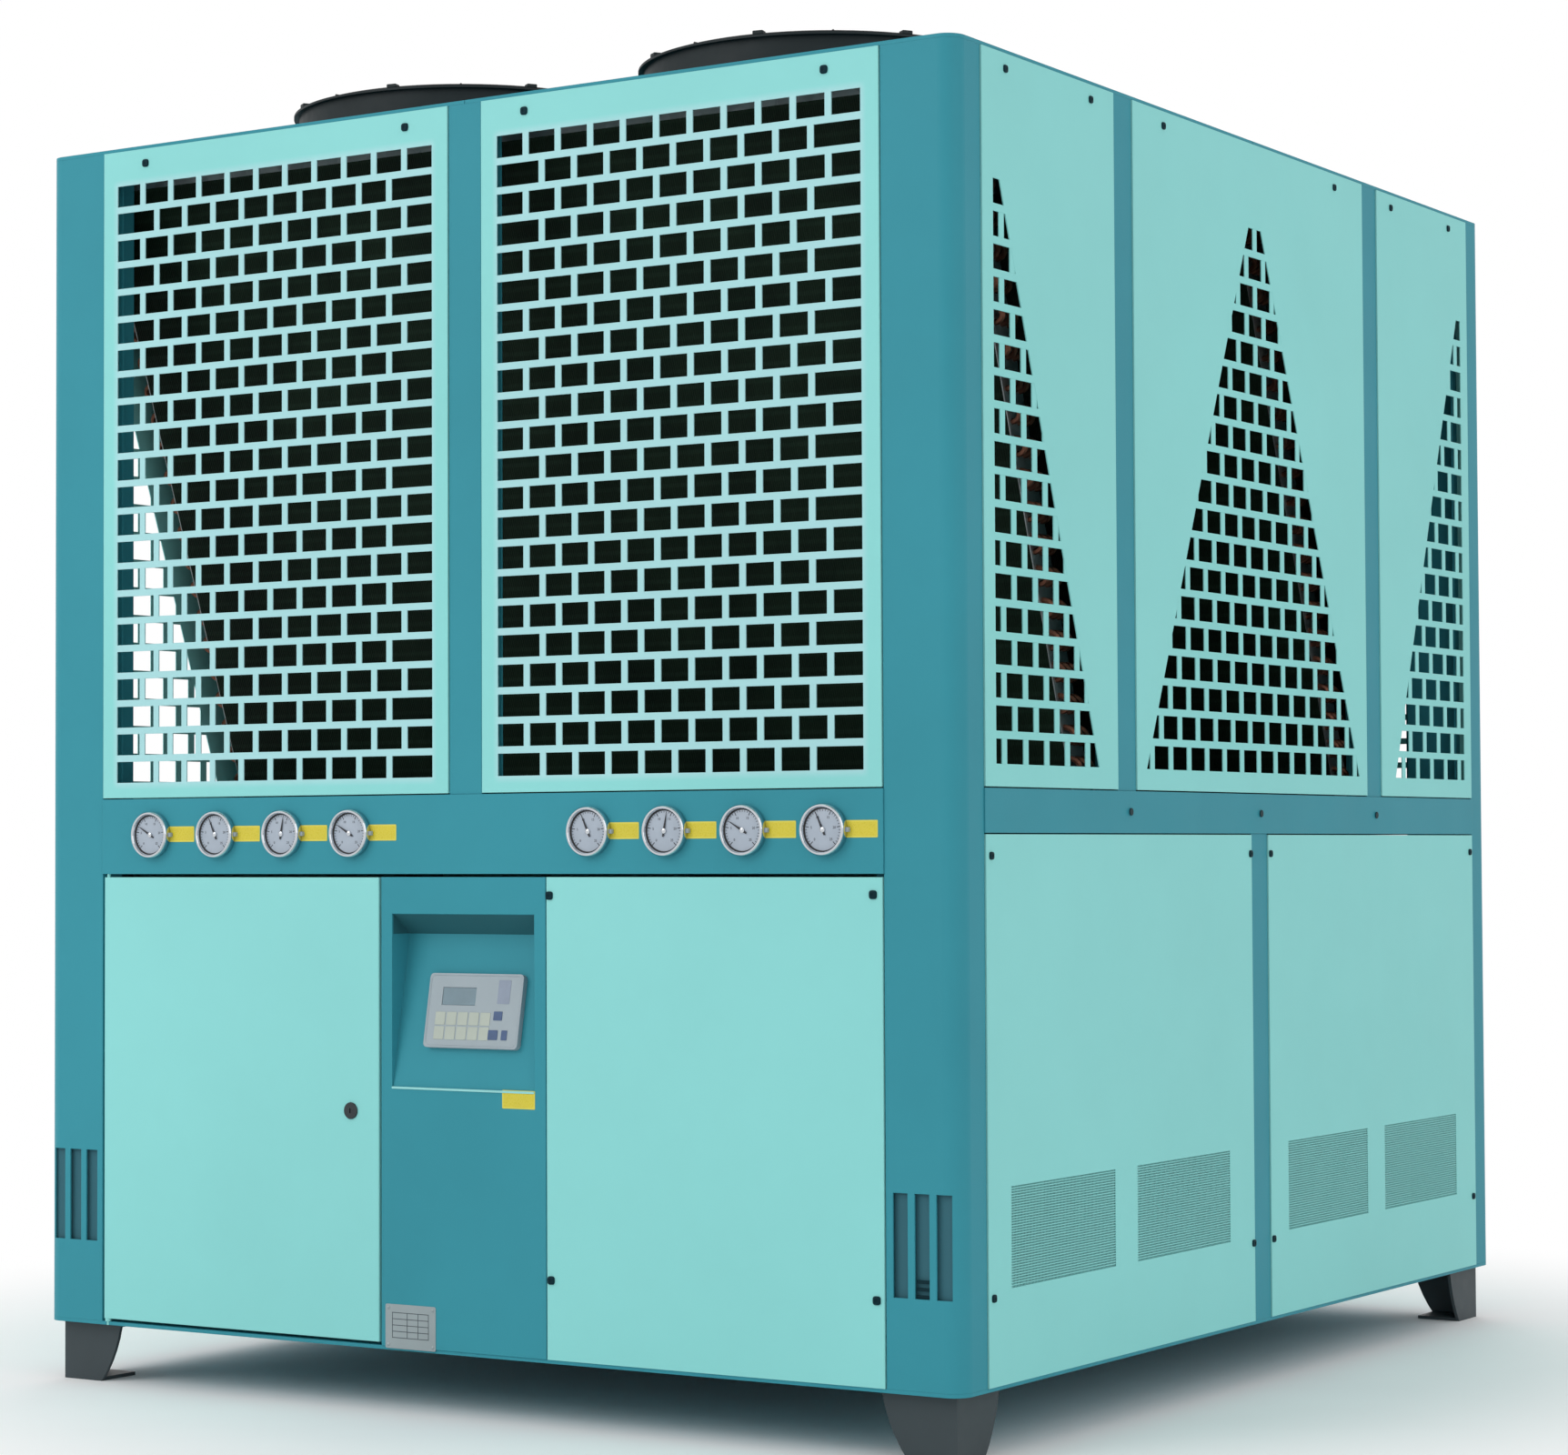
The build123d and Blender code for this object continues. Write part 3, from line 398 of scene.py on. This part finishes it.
chrome = finish("chrome", (198, 203, 208), 0.04, 30, (0.05, 0.16), 700, 0.002, Metallic=1.0)
brushed = finish("brushed_plate", (206, 212, 214), 0.05, 12, (0.30, 0.42), 60, 0.02,
                 stretch=ALONG_X, Metallic=0.5)
dial_grey = finish("dial_grey", (166, 178, 192), 0.04, 40, (0.25, 0.35), 300, 0.004,
                   Coat_Weight=0.8, Coat_Roughness=0.05)
dial_black = finish("dial_black", (30, 32, 38), 0.15, 60, (0.3, 0.4), 400, 0.002)
label_yellow = finish("label_yellow", (214, 198, 42), 0.03, 60, (0.22, 0.34), 300, 0.006,
                      Coat_Weight=0.3)
label_edge = finish("label_edge", (222, 210, 78), 0.03, 60, (0.25, 0.36), 300, 0.006)
key_grey = finish("key_panel_grey", (156, 169, 176), 0.03, 20, (0.36, 0.5), 500, 0.01, 0.6)
key_cream = finish("key_cream", (176, 185, 174), 0.04, 30, (0.4, 0.5), 600, 0.01)
key_blue = finish("key_blue", (58, 84, 124), 0.1, 60, (0.35, 0.45), 600, 0.01)
key_mauve = finish("key_mauve", (138, 150, 168), 0.06, 40, (0.4, 0.5), 600, 0.01)
lcd = finish("lcd_grey_blue", (104, 130, 142), 0.08, 30, (0.12, 0.22), 200, 0.002,
             Coat_Weight=0.6)
plate_pale = finish("rating_plate", (150, 161, 164), 0.05, 14, (0.28, 0.4), 60, 0.01,
                    stretch=ALONG_X, Metallic=0.35)
plate_ink = finish("plate_ink", (62, 74, 80), 0.15, 60, (0.4, 0.5), 400, 0.002)
device_grey = finish("device_grey", (198, 200, 196), 0.05, 20, (0.42, 0.55), 400, 0.01, 0.6)
device_black = finish("device_black", (38, 40, 43), 0.15, 30, (0.4, 0.55), 400, 0.01)
duct_grey = finish("duct_grey", (150, 156, 160), 0.06, 20, (0.45, 0.6), 300, 0.01)
rubber = finish("black_rubber", (28, 29, 30), 0.2, 40, (0.6, 0.75), 300, 0.03)
copper = finish("copper_tube", (120, 80, 64), 0.25, 30, (0.32, 0.52), 200, 0.004, Metallic=0.9)

# The CAD nodes that each material dresses
DRESS = {
    grille_mint_painted_highlight: ["front_left_grille", "front_right_grille"],
    mint: ["rear_grilles", "right_lower_panels", "left_lower_panels",
           "front_lower_panel", "rear_lower_panels", "electrical_door", "vent_screens"]
          + [f"{side}_grille_{n}" for side in ("right", "left") for n in (1, 2, 3)],
    teal: ["base_frame", "post_front_left", "post_front_right", "post_rear_left",
           "post_rear_right", "front_middle_post", "rear_middle_posts", "right_mullions",
           "left_mullions", "front_gauge_band", "rear_band"]
          + [f"fan_deck_{n}" for n in (1, 2, 3, 4)],
    band_teal: ["right_band", "left_band"],
    hood_teal_painted_shade: ["control_column"],
    foot_grey: ["feet"],
    zinc: ["machine_room_roof", "electrical_enclosure", "deck_beams"],
    fins: ["condenser_coils_front", "condenser_coils_rear"],
    key_grey: ["control_operator"],
    device_grey: ["switchgear"],
    chrome: ["pressure_gauges"],
    gunmetal: ["door_lock"],
    pipe_grey: ["water_connections"],
    charcoal: [f"fan_shroud_{n}" for n in (1, 2, 3, 4)],
    black_wire: [f"fan_guard_{n}" for n in (1, 2, 3, 4)],
    motor_black: [f"fan_motor_{n}" for n in (1, 2, 3, 4)],
    blade_grey: [f"fan_rotor_{n}" for n in (1, 2, 3, 4)],
}
for material, names in DRESS.items():
    for name in names:
        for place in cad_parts[name].material_slots:
            place.material = material


# Bars that divide the long slots of the side and rear grilles into holes, inside the sheets
BAR_BACK, BAR_FRONT = 0.15, 1.85
BAR_LAP = 0.4           # how far a bar runs into the sheet above and below its slot
FIELD_FOOT = 1028       # where the lowest row of the side grilles begins
FIELD_ROW = 49.4        # from one row to the next
FIELD_SLOT = 37.5       # height of a slot
FIELD_HOLE = 66.5       # from one bar to the next
FIELD_REACH = 14        # bars tried to each side, more than fit
HALF_BAR = 7.75
LEAST_BAR = 0.3         # where a bar would be lower than this, it is left out
BAR_STEPS = 8           # points across a bar, whose head follows the triangle's slope
HALF_BASE, MIDDLE_HEIGHT = 419, 985     # of the middle triangle
CORNER_BASE, CORNER_HEIGHT = 330, 935
CORNER_EDGE = 912       # the upright edge of the corner triangles
NEAR_BAR, FAR_BAR = 25.5, 58.75         # from that edge to the first bar in even and odd rows


def field_bars(face, left_edge, right_edge, height, phases):
    """The bars of a triangle of rows. An edge is given by its u at the base and at the apex, and
    phases are where a bar's middle lies in even and odd rows."""
    shapes = []
    for row in range(int(height / FIELD_ROW)):
        low = FIELD_FOOT + row * FIELD_ROW
        for step in range(-FIELD_REACH, FIELD_REACH + 1):
            tops = []
            for k in range(BAR_STEPS + 1):
                u = phases[row % 2] + step * FIELD_HOLE + HALF_BAR * (2 * k / BAR_STEPS - 1)
                top = low + FIELD_SLOT
                for (base, apex), way in ((left_edge, 1), (right_edge, -1)):
                    if (u - base) * way < 0:
                        top = low
                    elif apex != base:
                        top = min(top, FIELD_FOOT + height * (u - base) / (apex - base))
                if top > low + LEAST_BAR:
                    tops.append((u, top + BAR_LAP))
            if len(tops) > 1:
                foot = low - BAR_LAP
                outline = [(tops[0][0], foot), (tops[-1][0], foot)] + tops[::-1]
                shapes.append(prism(face, outline, BAR_BACK, BAR_FRONT))
    return shapes


for face, name in ((right, "right"), (left, "left")):
    shapes = field_bars(face, (-HALF_BASE, 0), (HALF_BASE, 0), MIDDLE_HEIGHT, (0, FIELD_HOLE / 2))
    shapes += field_bars(face, (-CORNER_EDGE, -CORNER_EDGE),
                         (CORNER_BASE - CORNER_EDGE, -CORNER_EDGE), CORNER_HEIGHT,
                         (NEAR_BAR - CORNER_EDGE, FAR_BAR - CORNER_EDGE))
    shapes += field_bars(face, (CORNER_EDGE - CORNER_BASE, CORNER_EDGE),
                         (CORNER_EDGE, CORNER_EDGE), CORNER_HEIGHT,
                         (CORNER_EDGE - NEAR_BAR, CORNER_EDGE - FAR_BAR))
    make(f"{name}_grille_bars", shapes, mint)

REAR_ROWS, REAR_FOOT, REAR_ROW, REAR_SLOT = 22, 1020, 46.9, 35.5
REAR_HOLE, REAR_HALF_BAR = 62.7, 5.85
shapes = []
for middle in (-404.5, 404.5):
    for row in range(REAR_ROWS):
        z = REAR_FOOT + row * REAR_ROW
        first, count = (-4.5, 10) if row % 2 else (-4, 9)
        for n in range(count):
            u = middle + (first + n) * REAR_HOLE
            shapes.append(bar(rear, u - REAR_HALF_BAR, u + REAR_HALF_BAR, z - BAR_LAP,
                              z + REAR_SLOT + BAR_LAP, BAR_BACK, BAR_FRONT))
make("rear_grille_bars", shapes, mint)

# Screws of all sides
FRONT_SCREWS = [(s * u, 2075) for s in (-1, 1) for u in (120, 680)]
FRONT_SCREWS += [(166, 831), (759, 834), (168, 230), (762, 235)]
REAR_SCREWS = [(120, 2075), (680, 2075), (45, 891), (762, 891), (45, 237), (762, 237)]
SIDE_SCREWS = [(2076, (-872, -597, -344, 331, 583, 856)),
               (891, (-930, -38, 41, 932)), (237, (-930, -38, 41, 932))]
shapes = [screw(front, u, v) for u, v in FRONT_SCREWS]
shapes += [screw(rear, s * u, v) for s in (-1, 1) for u, v in REAR_SCREWS]
for face, way in ((right, 1), (left, -1)):
    shapes += [screw(face, way * u, v, 5.8) for v, places in SIDE_SCREWS for u in places]
make("panel_screws", shapes, screw_teal)

# Vent screens, woven from flat strips
VENT_FOOT, VENT_WIDTH, VENT_HEIGHT = 247, 336, 151
STRIP_GAP, HALF_STRIP = 4, 0.8
UPRIGHT_DEPTHS, LEVEL_DEPTHS = (0.2, 1.0), (0.9, 1.8)
shapes = []
for face in (right, left):
    for middle in (-501, 477):
        for offset in (-206, 206):
            u0, v0 = middle + offset - VENT_WIDTH // 2, VENT_FOOT
            for k in range(1, VENT_WIDTH // STRIP_GAP):
                u = u0 + STRIP_GAP * k
                shapes.append(bar(face, u - HALF_STRIP, u + HALF_STRIP, v0, v0 + VENT_HEIGHT,
                                  *UPRIGHT_DEPTHS))
            for k in range(1, VENT_HEIGHT // STRIP_GAP + 1):
                v = v0 + STRIP_GAP * k
                shapes.append(bar(face, u0, u0 + VENT_WIDTH, v - HALF_STRIP, v + HALF_STRIP,
                                  *LEVEL_DEPTHS))
make("vent_mesh", shapes, mint, stands_for=["vent_screens"])

# Gauges. Their profiles are (radius, height) points, and their marks run over the top, from 0 at
# the lower left to 25 at the lower right.
CASE = [(29.4, -32), (29.4, 2.1), (36, 2.1), (39, 3.5), (40, 8), (39.6, 13), (37.6, 15.8),
        (35, 15.9), (33.6, 14), (33.2, 9), (27, 8.4), (27, -32)]
DIAL = [(33.4, 7.6), (33.4, 9.2), (32.4, 9.5), (0.5, 9.5), (0.5, 7.6)]
# The seal is a black rubber ring inside each bezel, and its dark ring is also painted shade for the
# shadow inside the bezel.
SHADE_SEAL = [(33.4, 9.2), (33.4, 11.6), (31.4, 10.4), (31.4, 9.2)]
HUB = [(4.2, 9.4), (4.2, 11.5), (3, 12.4), (0.3, 12.6)]
POINTER = [(-9, -1.3), (0, -1.9), (24, -0.5), (29, 0), (24, 0.5), (0, 1.9), (-9, 1.3)]
MARKS, FIRST_MARK, MARK_STEP = 31, 225, 9   # angles in degrees
NUMBERED = 6        # every sixth mark is long and has a number
MARK_END = 30.8     # radius
FIGURE_RADIUS, FIGURE_HEIGHT = 20.5, 5.6
cases, dials, shade_seals, inks, hubs, tabs = [], [], [], [], [], []
for number, u in enumerate(GAUGES):
    v = GAUGE_Z
    cases.append(turned(front, u, v, CASE, 64, True))
    dials.append(turned(front, u, v, DIAL))
    shade_seals.append(turned(front, u, v, SHADE_SEAL, closed=True))
    for k in range(MARKS):
        turn = radians(FIRST_MARK - k * MARK_STEP)
        inner, half = (28, 0.35) if k % NUMBERED else (25.2, 0.6)
        mark = [(inner, -half), (MARK_END, -half), (MARK_END, half), (inner, half)]
        inks.append(pointed(front, u, v, turn, mark, 9.4, 9.7))
        if k % NUMBERED == 0:
            inks.append(figures(front, u + FIGURE_RADIUS * cos(turn),
                                v + FIGURE_RADIUS * sin(turn), FIGURE_HEIGHT,
                                str(k // NUMBERED * 5), 9.6))
    inks.append(pointed(front, u, v, radians(150 - 35 * (number % 3)), POINTER, 10.6, 11.2))
    hubs.append(turned(front, u, v, HUB, 24))
    tabs.append(bar(front, u + 37, u + 44, v - 3.5, v + 3.5, 2.1, 9))
make("gauge_cases", cases, chrome, stands_for=["pressure_gauges"])
make("gauge_dials", dials, dial_grey)
make("gauge_seals_painted_shade", shade_seals, rubber)
make("gauge_marks", inks, dial_black)
make("gauge_hubs", hubs, chrome)
make("gauge_label_tabs", tabs, key_grey, bevel=0.8)

# Yellow labels with a paler edge, beside each gauge and under the recess
LABEL_RIM = 2.5
places = [(u + 24.5, u + 91.5, 919, 945) for u in GAUGES] + [(73, 137, 495, 524)]
make("label_edges", [prism(front, rounded(*p, 1.5), 1.9, 2.4) for p in places], label_edge)
fields = [(u0 + LABEL_RIM, u1 - LABEL_RIM, v0 + LABEL_RIM, v1 - LABEL_RIM)
          for u0, u1, v0, v1 in places]
make("label_fields", [prism(front, rounded(*p, 1), 2.3, 2.6) for p in fields], label_yellow)

# The bright lower lip of the recess
make("recess_lip", [prism(front, rounded(-148, 136, 519.5, 523, 1.5), 1.6, 3.6)], lip_mint)

# Rating plate, with rivets and blank ruled boxes
RIVET = [(2.6, 2.7), (2.6, 3.3), (1.6, 3.9), (0.2, 4)]
RULE, RULE_LOW, RULE_HIGH = 1.2, 2.7, 2.95
make("rating_plate", [prism(front, rounded(-162, -60, 103, 174, 3), 1.9, 2.8)], plate_pale,
     bevel=0.3)
make("rating_plate_rivets", [turned(front, u, v, RIVET, 16) for u in (-156, -66)
                             for v in (109, 168)], plate_pale)
shapes = [bar(front, -148, -74, v, v + RULE, RULE_LOW, RULE_HIGH)
          for v in (120, 130, 140, 150, 160)]
shapes += [bar(front, u, u + RULE, 120, 161, RULE_LOW, RULE_HIGH) for u in (-148, -118, -96, -75)]
make("rating_plate_rules", shapes, plate_ink)


# Key panel
KEY_FOOT = 8.9      # just inside the panel's surface
PANEL_CORNER = 7


def key(u0, u1, v0, v1, radius, high):
    """A key, placed by fractions of the panel's width from the left and height from the top."""
    width, height = KEY_PANEL
    return prism(keys, rounded(width * u0 - width / 2, width * u1 - width / 2,
                               height / 2 - height * v1, height / 2 - height * v0, radius),
                 KEY_FOOT, high)


make("key_screen", [bar(keys, -65, 1, 9, 37, 7.3, 8.2)], lcd, bevel=0.3)
cream = [key(0.10 + 0.12 * c, 0.205 + 0.12 * c, 0.52 + 0.195 * r, 0.695 + 0.195 * r, 1.5, 9.7)
         for c in range(5) for r in range(2)]
make("cream_keys", cream, key_cream, bevel=0.3)
blue = [key(0.72, 0.81, 0.50, 0.62, 1, 9.9), key(0.68, 0.78, 0.75, 0.88, 1, 9.9),
        key(0.82, 0.88, 0.75, 0.88, 1, 9.9)]
make("blue_keys", blue, key_blue, bevel=0.3)
make("mauve_strip", [key(0.74, 0.87, 0.08, 0.40, 1.5, 9.4)], key_mauve,
     bevel=0.2)
rim = [(93.4, 59.9, KEY_FOOT), (93.4, 59.9, 9.8), (91, 57.5, 10.2), (89, 55.5, KEY_FOOT)]
make("key_panel_frame", [skin([[keys(u, v, w) for u, v in rounded(-a, a, -b, b, PANEL_CORNER)]
                               for a, b, w in rim], closed=True)], key_grey)

# Plates behind the slots of the posts, in a darker teal that is painted shade, and dark rungs low
# in the middle slot of the front right one
SLOTS_MIDDLE, SLOT_BACK_HALF = 838.5, 52
RUNG = 5            # height of a rung
shade_backs = []
for face in (front, rear):
    for side in (-1, 1):
        u = side * SLOTS_MIDDLE
        shade_backs.append(bar(face, u - SLOT_BACK_HALF, u + SLOT_BACK_HALF, 236, 400, -9.5, -8))
make("post_slot_backs_painted_shade", shade_backs, slot_teal_painted_shade)
make("post_slot_rungs", [bar(front, 827, 850, v, v + RUNG, -6, -3.2)
                         for v in (241.5, 252.5, 263.5)], screw_teal)

# Coil ends: plates and copper return bends. A coil is given by the y of its front face at its foot
# and head, and by its depth. The rear coils mirror the front ones.
COILS = [((-570, -942), 61.5), ((-498.4, -79.4), 62.4)]
COIL_FOOT, COIL_HEAD, COIL_RISE = 992, 2049, 1060
PLATE_BACK, PLATE_FRONT = 850.2, 852
BEND_COLUMNS, BEND_ROWS, BEND_FIRST, BEND_ROW = 3, 21, 1018, 49
BEND_START, BEND_REACH, BEND_RADIUS = 851, 17, 12.5
BEND_STEPS = 8
TUBE_RADIUS = 4.8
for way, name in ((1, "front"), (-1, "rear")):
    plates, bends = [], []
    for (foot, head), depth in COILS:
        lean = (head - foot) / COIL_RISE
        for end in (-1, 1):
            outline = [(foot, COIL_FOOT), (foot + depth, COIL_FOOT), (head + depth, COIL_HEAD),
                       (head, COIL_HEAD)]
            plates.append(prism(coil_end(way, end), outline, PLATE_BACK, PLATE_FRONT))
            for column in range(BEND_COLUMNS):
                for row in range(BEND_ROWS):
                    z = BEND_FIRST + row * BEND_ROW
                    y = foot + depth * (column + 0.5) / BEND_COLUMNS + lean * (z - COIL_FOOT)
                    arc = []
                    for k in range(BEND_STEPS + 1):
                        turn = pi * k / BEND_STEPS
                        arc.append((end * (BEND_START + BEND_REACH * sin(turn)),
                                    way * (y + lean * BEND_RADIUS * (1 - cos(turn))),
                                    z + BEND_RADIUS * (1 - cos(turn))))
                    bends.append(tube(arc, TUBE_RADIUS, 6))
    make(f"coil_end_plates_{name}", plates, zinc)
    make(f"coil_return_bends_{name}", bends, copper)

# Fans: a guard of round wires that rises to the middle, a dished middle plate, clips on the lip
GUARD_RINGS, FIRST_RING, RING_STEP, RING_Z, RING_WIRE = 20, 72, 12.05, 2198.8, 1.6
GUARD_SPOKES, SPOKE_Z, SPOKE_LIFT, SPOKE_WIRE = 16, 2195.2, 0.6, 2.2
SPOKE_STOPS = (62, 140, 220, 292)
SPOKE_FOOT = [(303, 2197.6), (311, 2197.6)]
MIDDLE_PLATE = [(66, 2206.2), (66, 2207.6), (62, 2209.6), (48, 2211.2), (20, 2211.8),
                (0.5, 2211.9)]
CLIPS, CLIP_LOW, CLIP_HIGH = 8, 2196.1, 2203
CLIP = [(298, -9), (313, -9), (313, 9), (298, 9)]
GUARD_EDGE, GUARD_RUN, GUARD_RISE = 301, 241, 9.5   # outer radius, and its slope's run and rise


def risen(radius):
    """How far the guard has risen over its edge at a radius."""
    return GUARD_RISE * (GUARD_EDGE - radius) / GUARD_RUN


for number, (x, y) in enumerate(FANS, 1):
    top = level(x, y)
    wires = []
    for n in range(GUARD_RINGS):
        r = FIRST_RING + n * RING_STEP
        z = RING_Z + risen(r)
        section = [(r + RING_WIRE * cos(a), z + RING_WIRE * sin(a)) for a in turns(6, 0.5)]
        wires.append(turned(top, 0, 0, section, 72, True))
    for a in turns(GUARD_SPOKES, 0.5):
        line = [(r, SPOKE_Z + risen(r) + SPOKE_LIFT) for r in SPOKE_STOPS] + SPOKE_FOOT
        wires.append(tube([top(r * cos(a), r * sin(a), z) for r, z in line], SPOKE_WIRE, 6))
    make(f"guard_wires_{number}", wires, black_wire,
         stands_for=[f"fan_guard_{number}"])
    make(f"guard_plate_{number}", [turned(top, 0, 0, MIDDLE_PLATE)], black_wire)
    make(f"guard_clips_{number}", [prism(spun(top, a), CLIP, CLIP_LOW, CLIP_HIGH)
                                   for a in turns(CLIPS, 0.25)], charcoal, bevel=1.5)

# Inside the electrical enclosure: device fronts, toggles, terminals with short wires, and ducts.
# The long toggles are those of circuit breakers, the flat ones those of contactors.
DEVICES_U, DEVICES_Z = -479.75, 502.5   # the middle of all rows
DEVICE_STEP, DEVICE_ROW = 98, 160
DEVICE_FACE = -162.2
TERMINAL = [(5.5, DEVICE_FACE), (5.5, -161), (4.5, -160.4), (0.5, -160.4)]
TERMINAL_STEP, TERMINAL_RISE = 22, 35
WIRE_PATH = [(44, -175), (52, -168), (57, -167), (60, -172)]
caps, toggles, terminals, ducts, wires = [], [], [], [], []
for row in range(4):
    z = DEVICES_Z + (row - 1.5) * DEVICE_ROW
    for n in range(5):
        u = DEVICES_U + (n - 2) * DEVICE_STEP
        caps.append(prism(front, rounded(u - 29, u + 29, z - 24, z + 24, 3), DEVICE_FACE, -152))
        half, low, high = (6, 14, -142) if row % 2 else (14, 6, -149)
        toggles.append(prism(front, rounded(u - half, u + half, z - low, z + 6, 2), -152.2, high))
        for k in (-1, 0, 1):
            for side in (-1, 1):
                across = u + TERMINAL_STEP * k
                terminals.append(turned(front, across, z + side * TERMINAL_RISE, TERMINAL, 16))
                wires.append(tube([front(across, z + side * v, w) for v, w in WIRE_PATH], 1.9, 8))
for row in range(5):
    z = DEVICES_Z + (row - 2) * DEVICE_ROW
    if row in (0, 4):   # the outer ducts keep clear of the enclosure's walls
        z -= 4 * (row - 2)
    ducts.append(bar(front, -742, -217, z - 20, z + 20, -237, -178))
    ducts += [bar(front, u - 5, u + 5, z - 22, z + 22, -236.5, -180)
              for u in range(-732, -220, 20)]
make("device_fronts", caps, device_black, bevel=0.8)
make("device_toggles", toggles, device_grey, bevel=0.6)
make("device_terminals", terminals, brushed)
make("wire_ducts", ducts, duct_grey)
make("device_wires", wires, device_black)

# Door gasket, and the lock's escutcheon
GASKET = ((-750, -189, 125, 846), (-740, -199, 135, 836))   # outer and inner edge
outer, inner = [rounded(*edges, 6) for edges in GASKET]
loops = [[front(u, v, w) for u, v in outline]
         for outline, w in ((outer, 0), (outer, -5), (inner, -5), (inner, 0))]
make("door_gasket", [skin(loops, closed=True)], rubber, body="electrical_door")
ring = [(13.6, 2), (13.6, 3.2), (12, 4.4), (10.2, 4.6), (9.6, 3.9), (9.6, 2)]
make("lock_ring", [turned(front, -233, 481, ring, 40, True)], dial_black,
     body="electrical_door")

# Weld beads behind the pipe flanges
bead = [(44 + 3 * cos(a), 71.5 + 3 * sin(a)) for a in turns(8)]
make("pipe_weld_beads", [turned(rear, 430, v, bead, closed=True) for v in (380, 640)], pipe_grey)


# Floor, which fades to white away from the object
FLOOR_RADIUS, FLOOR_SIDES = 30, 64
FADE_START, FADE_END = 1.1, 2.3     # distances from the row frame's origin


def direct_rays(tree):
    """1 for rays from the camera, a mirror or glass."""
    path = node(tree, "LightPath")
    seen = path.outputs["Is Camera Ray"]
    for kind in ("Is Glossy Ray", "Is Transmission Ray"):
        seen = combined(tree, "MAXIMUM", seen, path.outputs[kind])
    return seen


def joined(tree, factor, first, second, end):
    """Links a mix of two shaders to a tree's output."""
    mix = node(tree, "MixShader", Fac=factor)
    tree.links.new(first, mix.inputs[1])
    tree.links.new(second, mix.inputs[2])
    tree.links.new(mix.outputs["Shader"], tree.nodes[end].inputs["Surface"])


def floor_material():
    made, tree, shader, place = start("studio_floor", Roughness=0.9, Specular_IOR_Level=0.0)
    grain = node(tree, "TexNoise", Vector=place, Scale=3.0, Detail=3.0)
    pale = ramp(tree, grain.outputs["Fac"], (0.3, [0.93, 0.93, 0.93, 1]),
                (0.7, [0.95, 0.95, 0.95, 1]))
    tree.links.new(pale, shader.inputs["Base Color"])
    far = node(tree, "VectorMath", operation="LENGTH")
    tree.links.new(place, far.inputs[0])
    fade = node(tree, "MapRange", Value=far.outputs["Value"], From_Min=FADE_START,
                From_Max=FADE_END, interpolation_type="SMOOTHSTEP")
    white = node(tree, "Emission", Color=(1, 1, 1, 1), Strength=1.0)
    joined(tree, combined(tree, "MULTIPLY", fade.outputs["Result"], direct_rays(tree)),
           shader.outputs["BSDF"], white.outputs["Emission"], "Material Output")
    return made


mesh = bpy.data.meshes.new("floor")
mesh.from_pydata([(FLOOR_RADIUS * cos(a), FLOOR_RADIUS * sin(a), 0) for a in turns(FLOOR_SIDES)],
                 [], [tuple(range(FLOOR_SIDES))])
mesh.materials.append(floor_material())
floor = bpy.data.objects.new("floor", mesh)
bpy.context.scene.collection.objects.link(floor)

# Soft light from all around, and pure white where the background is seen directly
AMBIENT = 0.73
world = bpy.data.worlds.new("studio")
world.use_nodes = True
tree = world.node_tree
height = node(tree, "SeparateXYZ", Vector=node(tree, "TexCoord").outputs["Generated"])
rise = node(tree, "MapRange", Value=height.outputs["Z"], From_Min=-1.0, From_Max=1.0)
dome = ramp(tree, rise.outputs["Result"], (0.0, [0.75, 0.76, 0.77, 1]), (0.5, [0.9, 0.91, 0.92, 1]),
            (1.0, [1, 1, 1, 1]))
ambient = tree.nodes["Background"]
tree.links.new(dome, ambient.inputs["Color"])
ambient.inputs["Strength"].default_value = AMBIENT
backdrop = node(tree, "Background", Color=(1, 1, 1, 1), Strength=1.0)
joined(tree, direct_rays(tree), ambient.outputs["Background"], backdrop.outputs["Background"],
       "World Output")
bpy.context.scene.world = world

LIGHT_AIM = Vector((0, 0, 1.0))
LIGHT_SIZE = 6.0
LIGHTS = {"key": ((-4.0, -8.0, 6.0), 250), "fill": ((8.0, -2.0, 4.5), 76),
          "rear_fill": ((-4.0, 8.0, 5.0), 165)}    # place and watts
for name, (place, power) in LIGHTS.items():
    lamp = bpy.data.lights.new(name, "AREA")
    lamp.size = LIGHT_SIZE
    lamp.energy = power
    lamp.shape = "SQUARE"
    holder = bpy.data.objects.new(name, lamp)
    way = (LIGHT_AIM - Vector(place)).to_track_quat("-Z", "Y").to_matrix().to_4x4()
    holder.matrix_world = Matrix.Translation(place) @ way
    bpy.context.scene.collection.objects.link(holder)

# Camera, where the photograph was taken: its turn to the left of straight ahead (+Y), its upward
# tilt and its roll
EYE = (3.5927, -5.7153, 0.9013)
FOCAL_LENGTH, SENSOR = 84.774, 36.0     # millimetres
azimuth, tilt, roll = radians(32.5033), radians(1.8964), radians(-0.256)
lens = bpy.data.cameras.new("camera")
lens.lens = FOCAL_LENGTH
lens.sensor_width = SENSOR
lens.clip_end = 100.0
camera = bpy.data.objects.new("camera", lens)
ahead = Vector((-sin(azimuth) * cos(tilt), cos(azimuth) * cos(tilt), sin(tilt)))
aside = Vector((cos(azimuth), sin(azimuth), 0))
upright = aside.cross(ahead)
x_axis = aside * cos(roll) + upright * sin(roll)
y_axis = upright * cos(roll) - aside * sin(roll)
axes = Matrix((x_axis, y_axis, -ahead)).transposed().to_4x4()
camera.matrix_world = Matrix.Translation(EYE) @ axes
bpy.context.scene.collection.objects.link(camera)
bpy.context.scene.camera = camera
bpy.context.scene.view_settings.view_transform = "Standard"
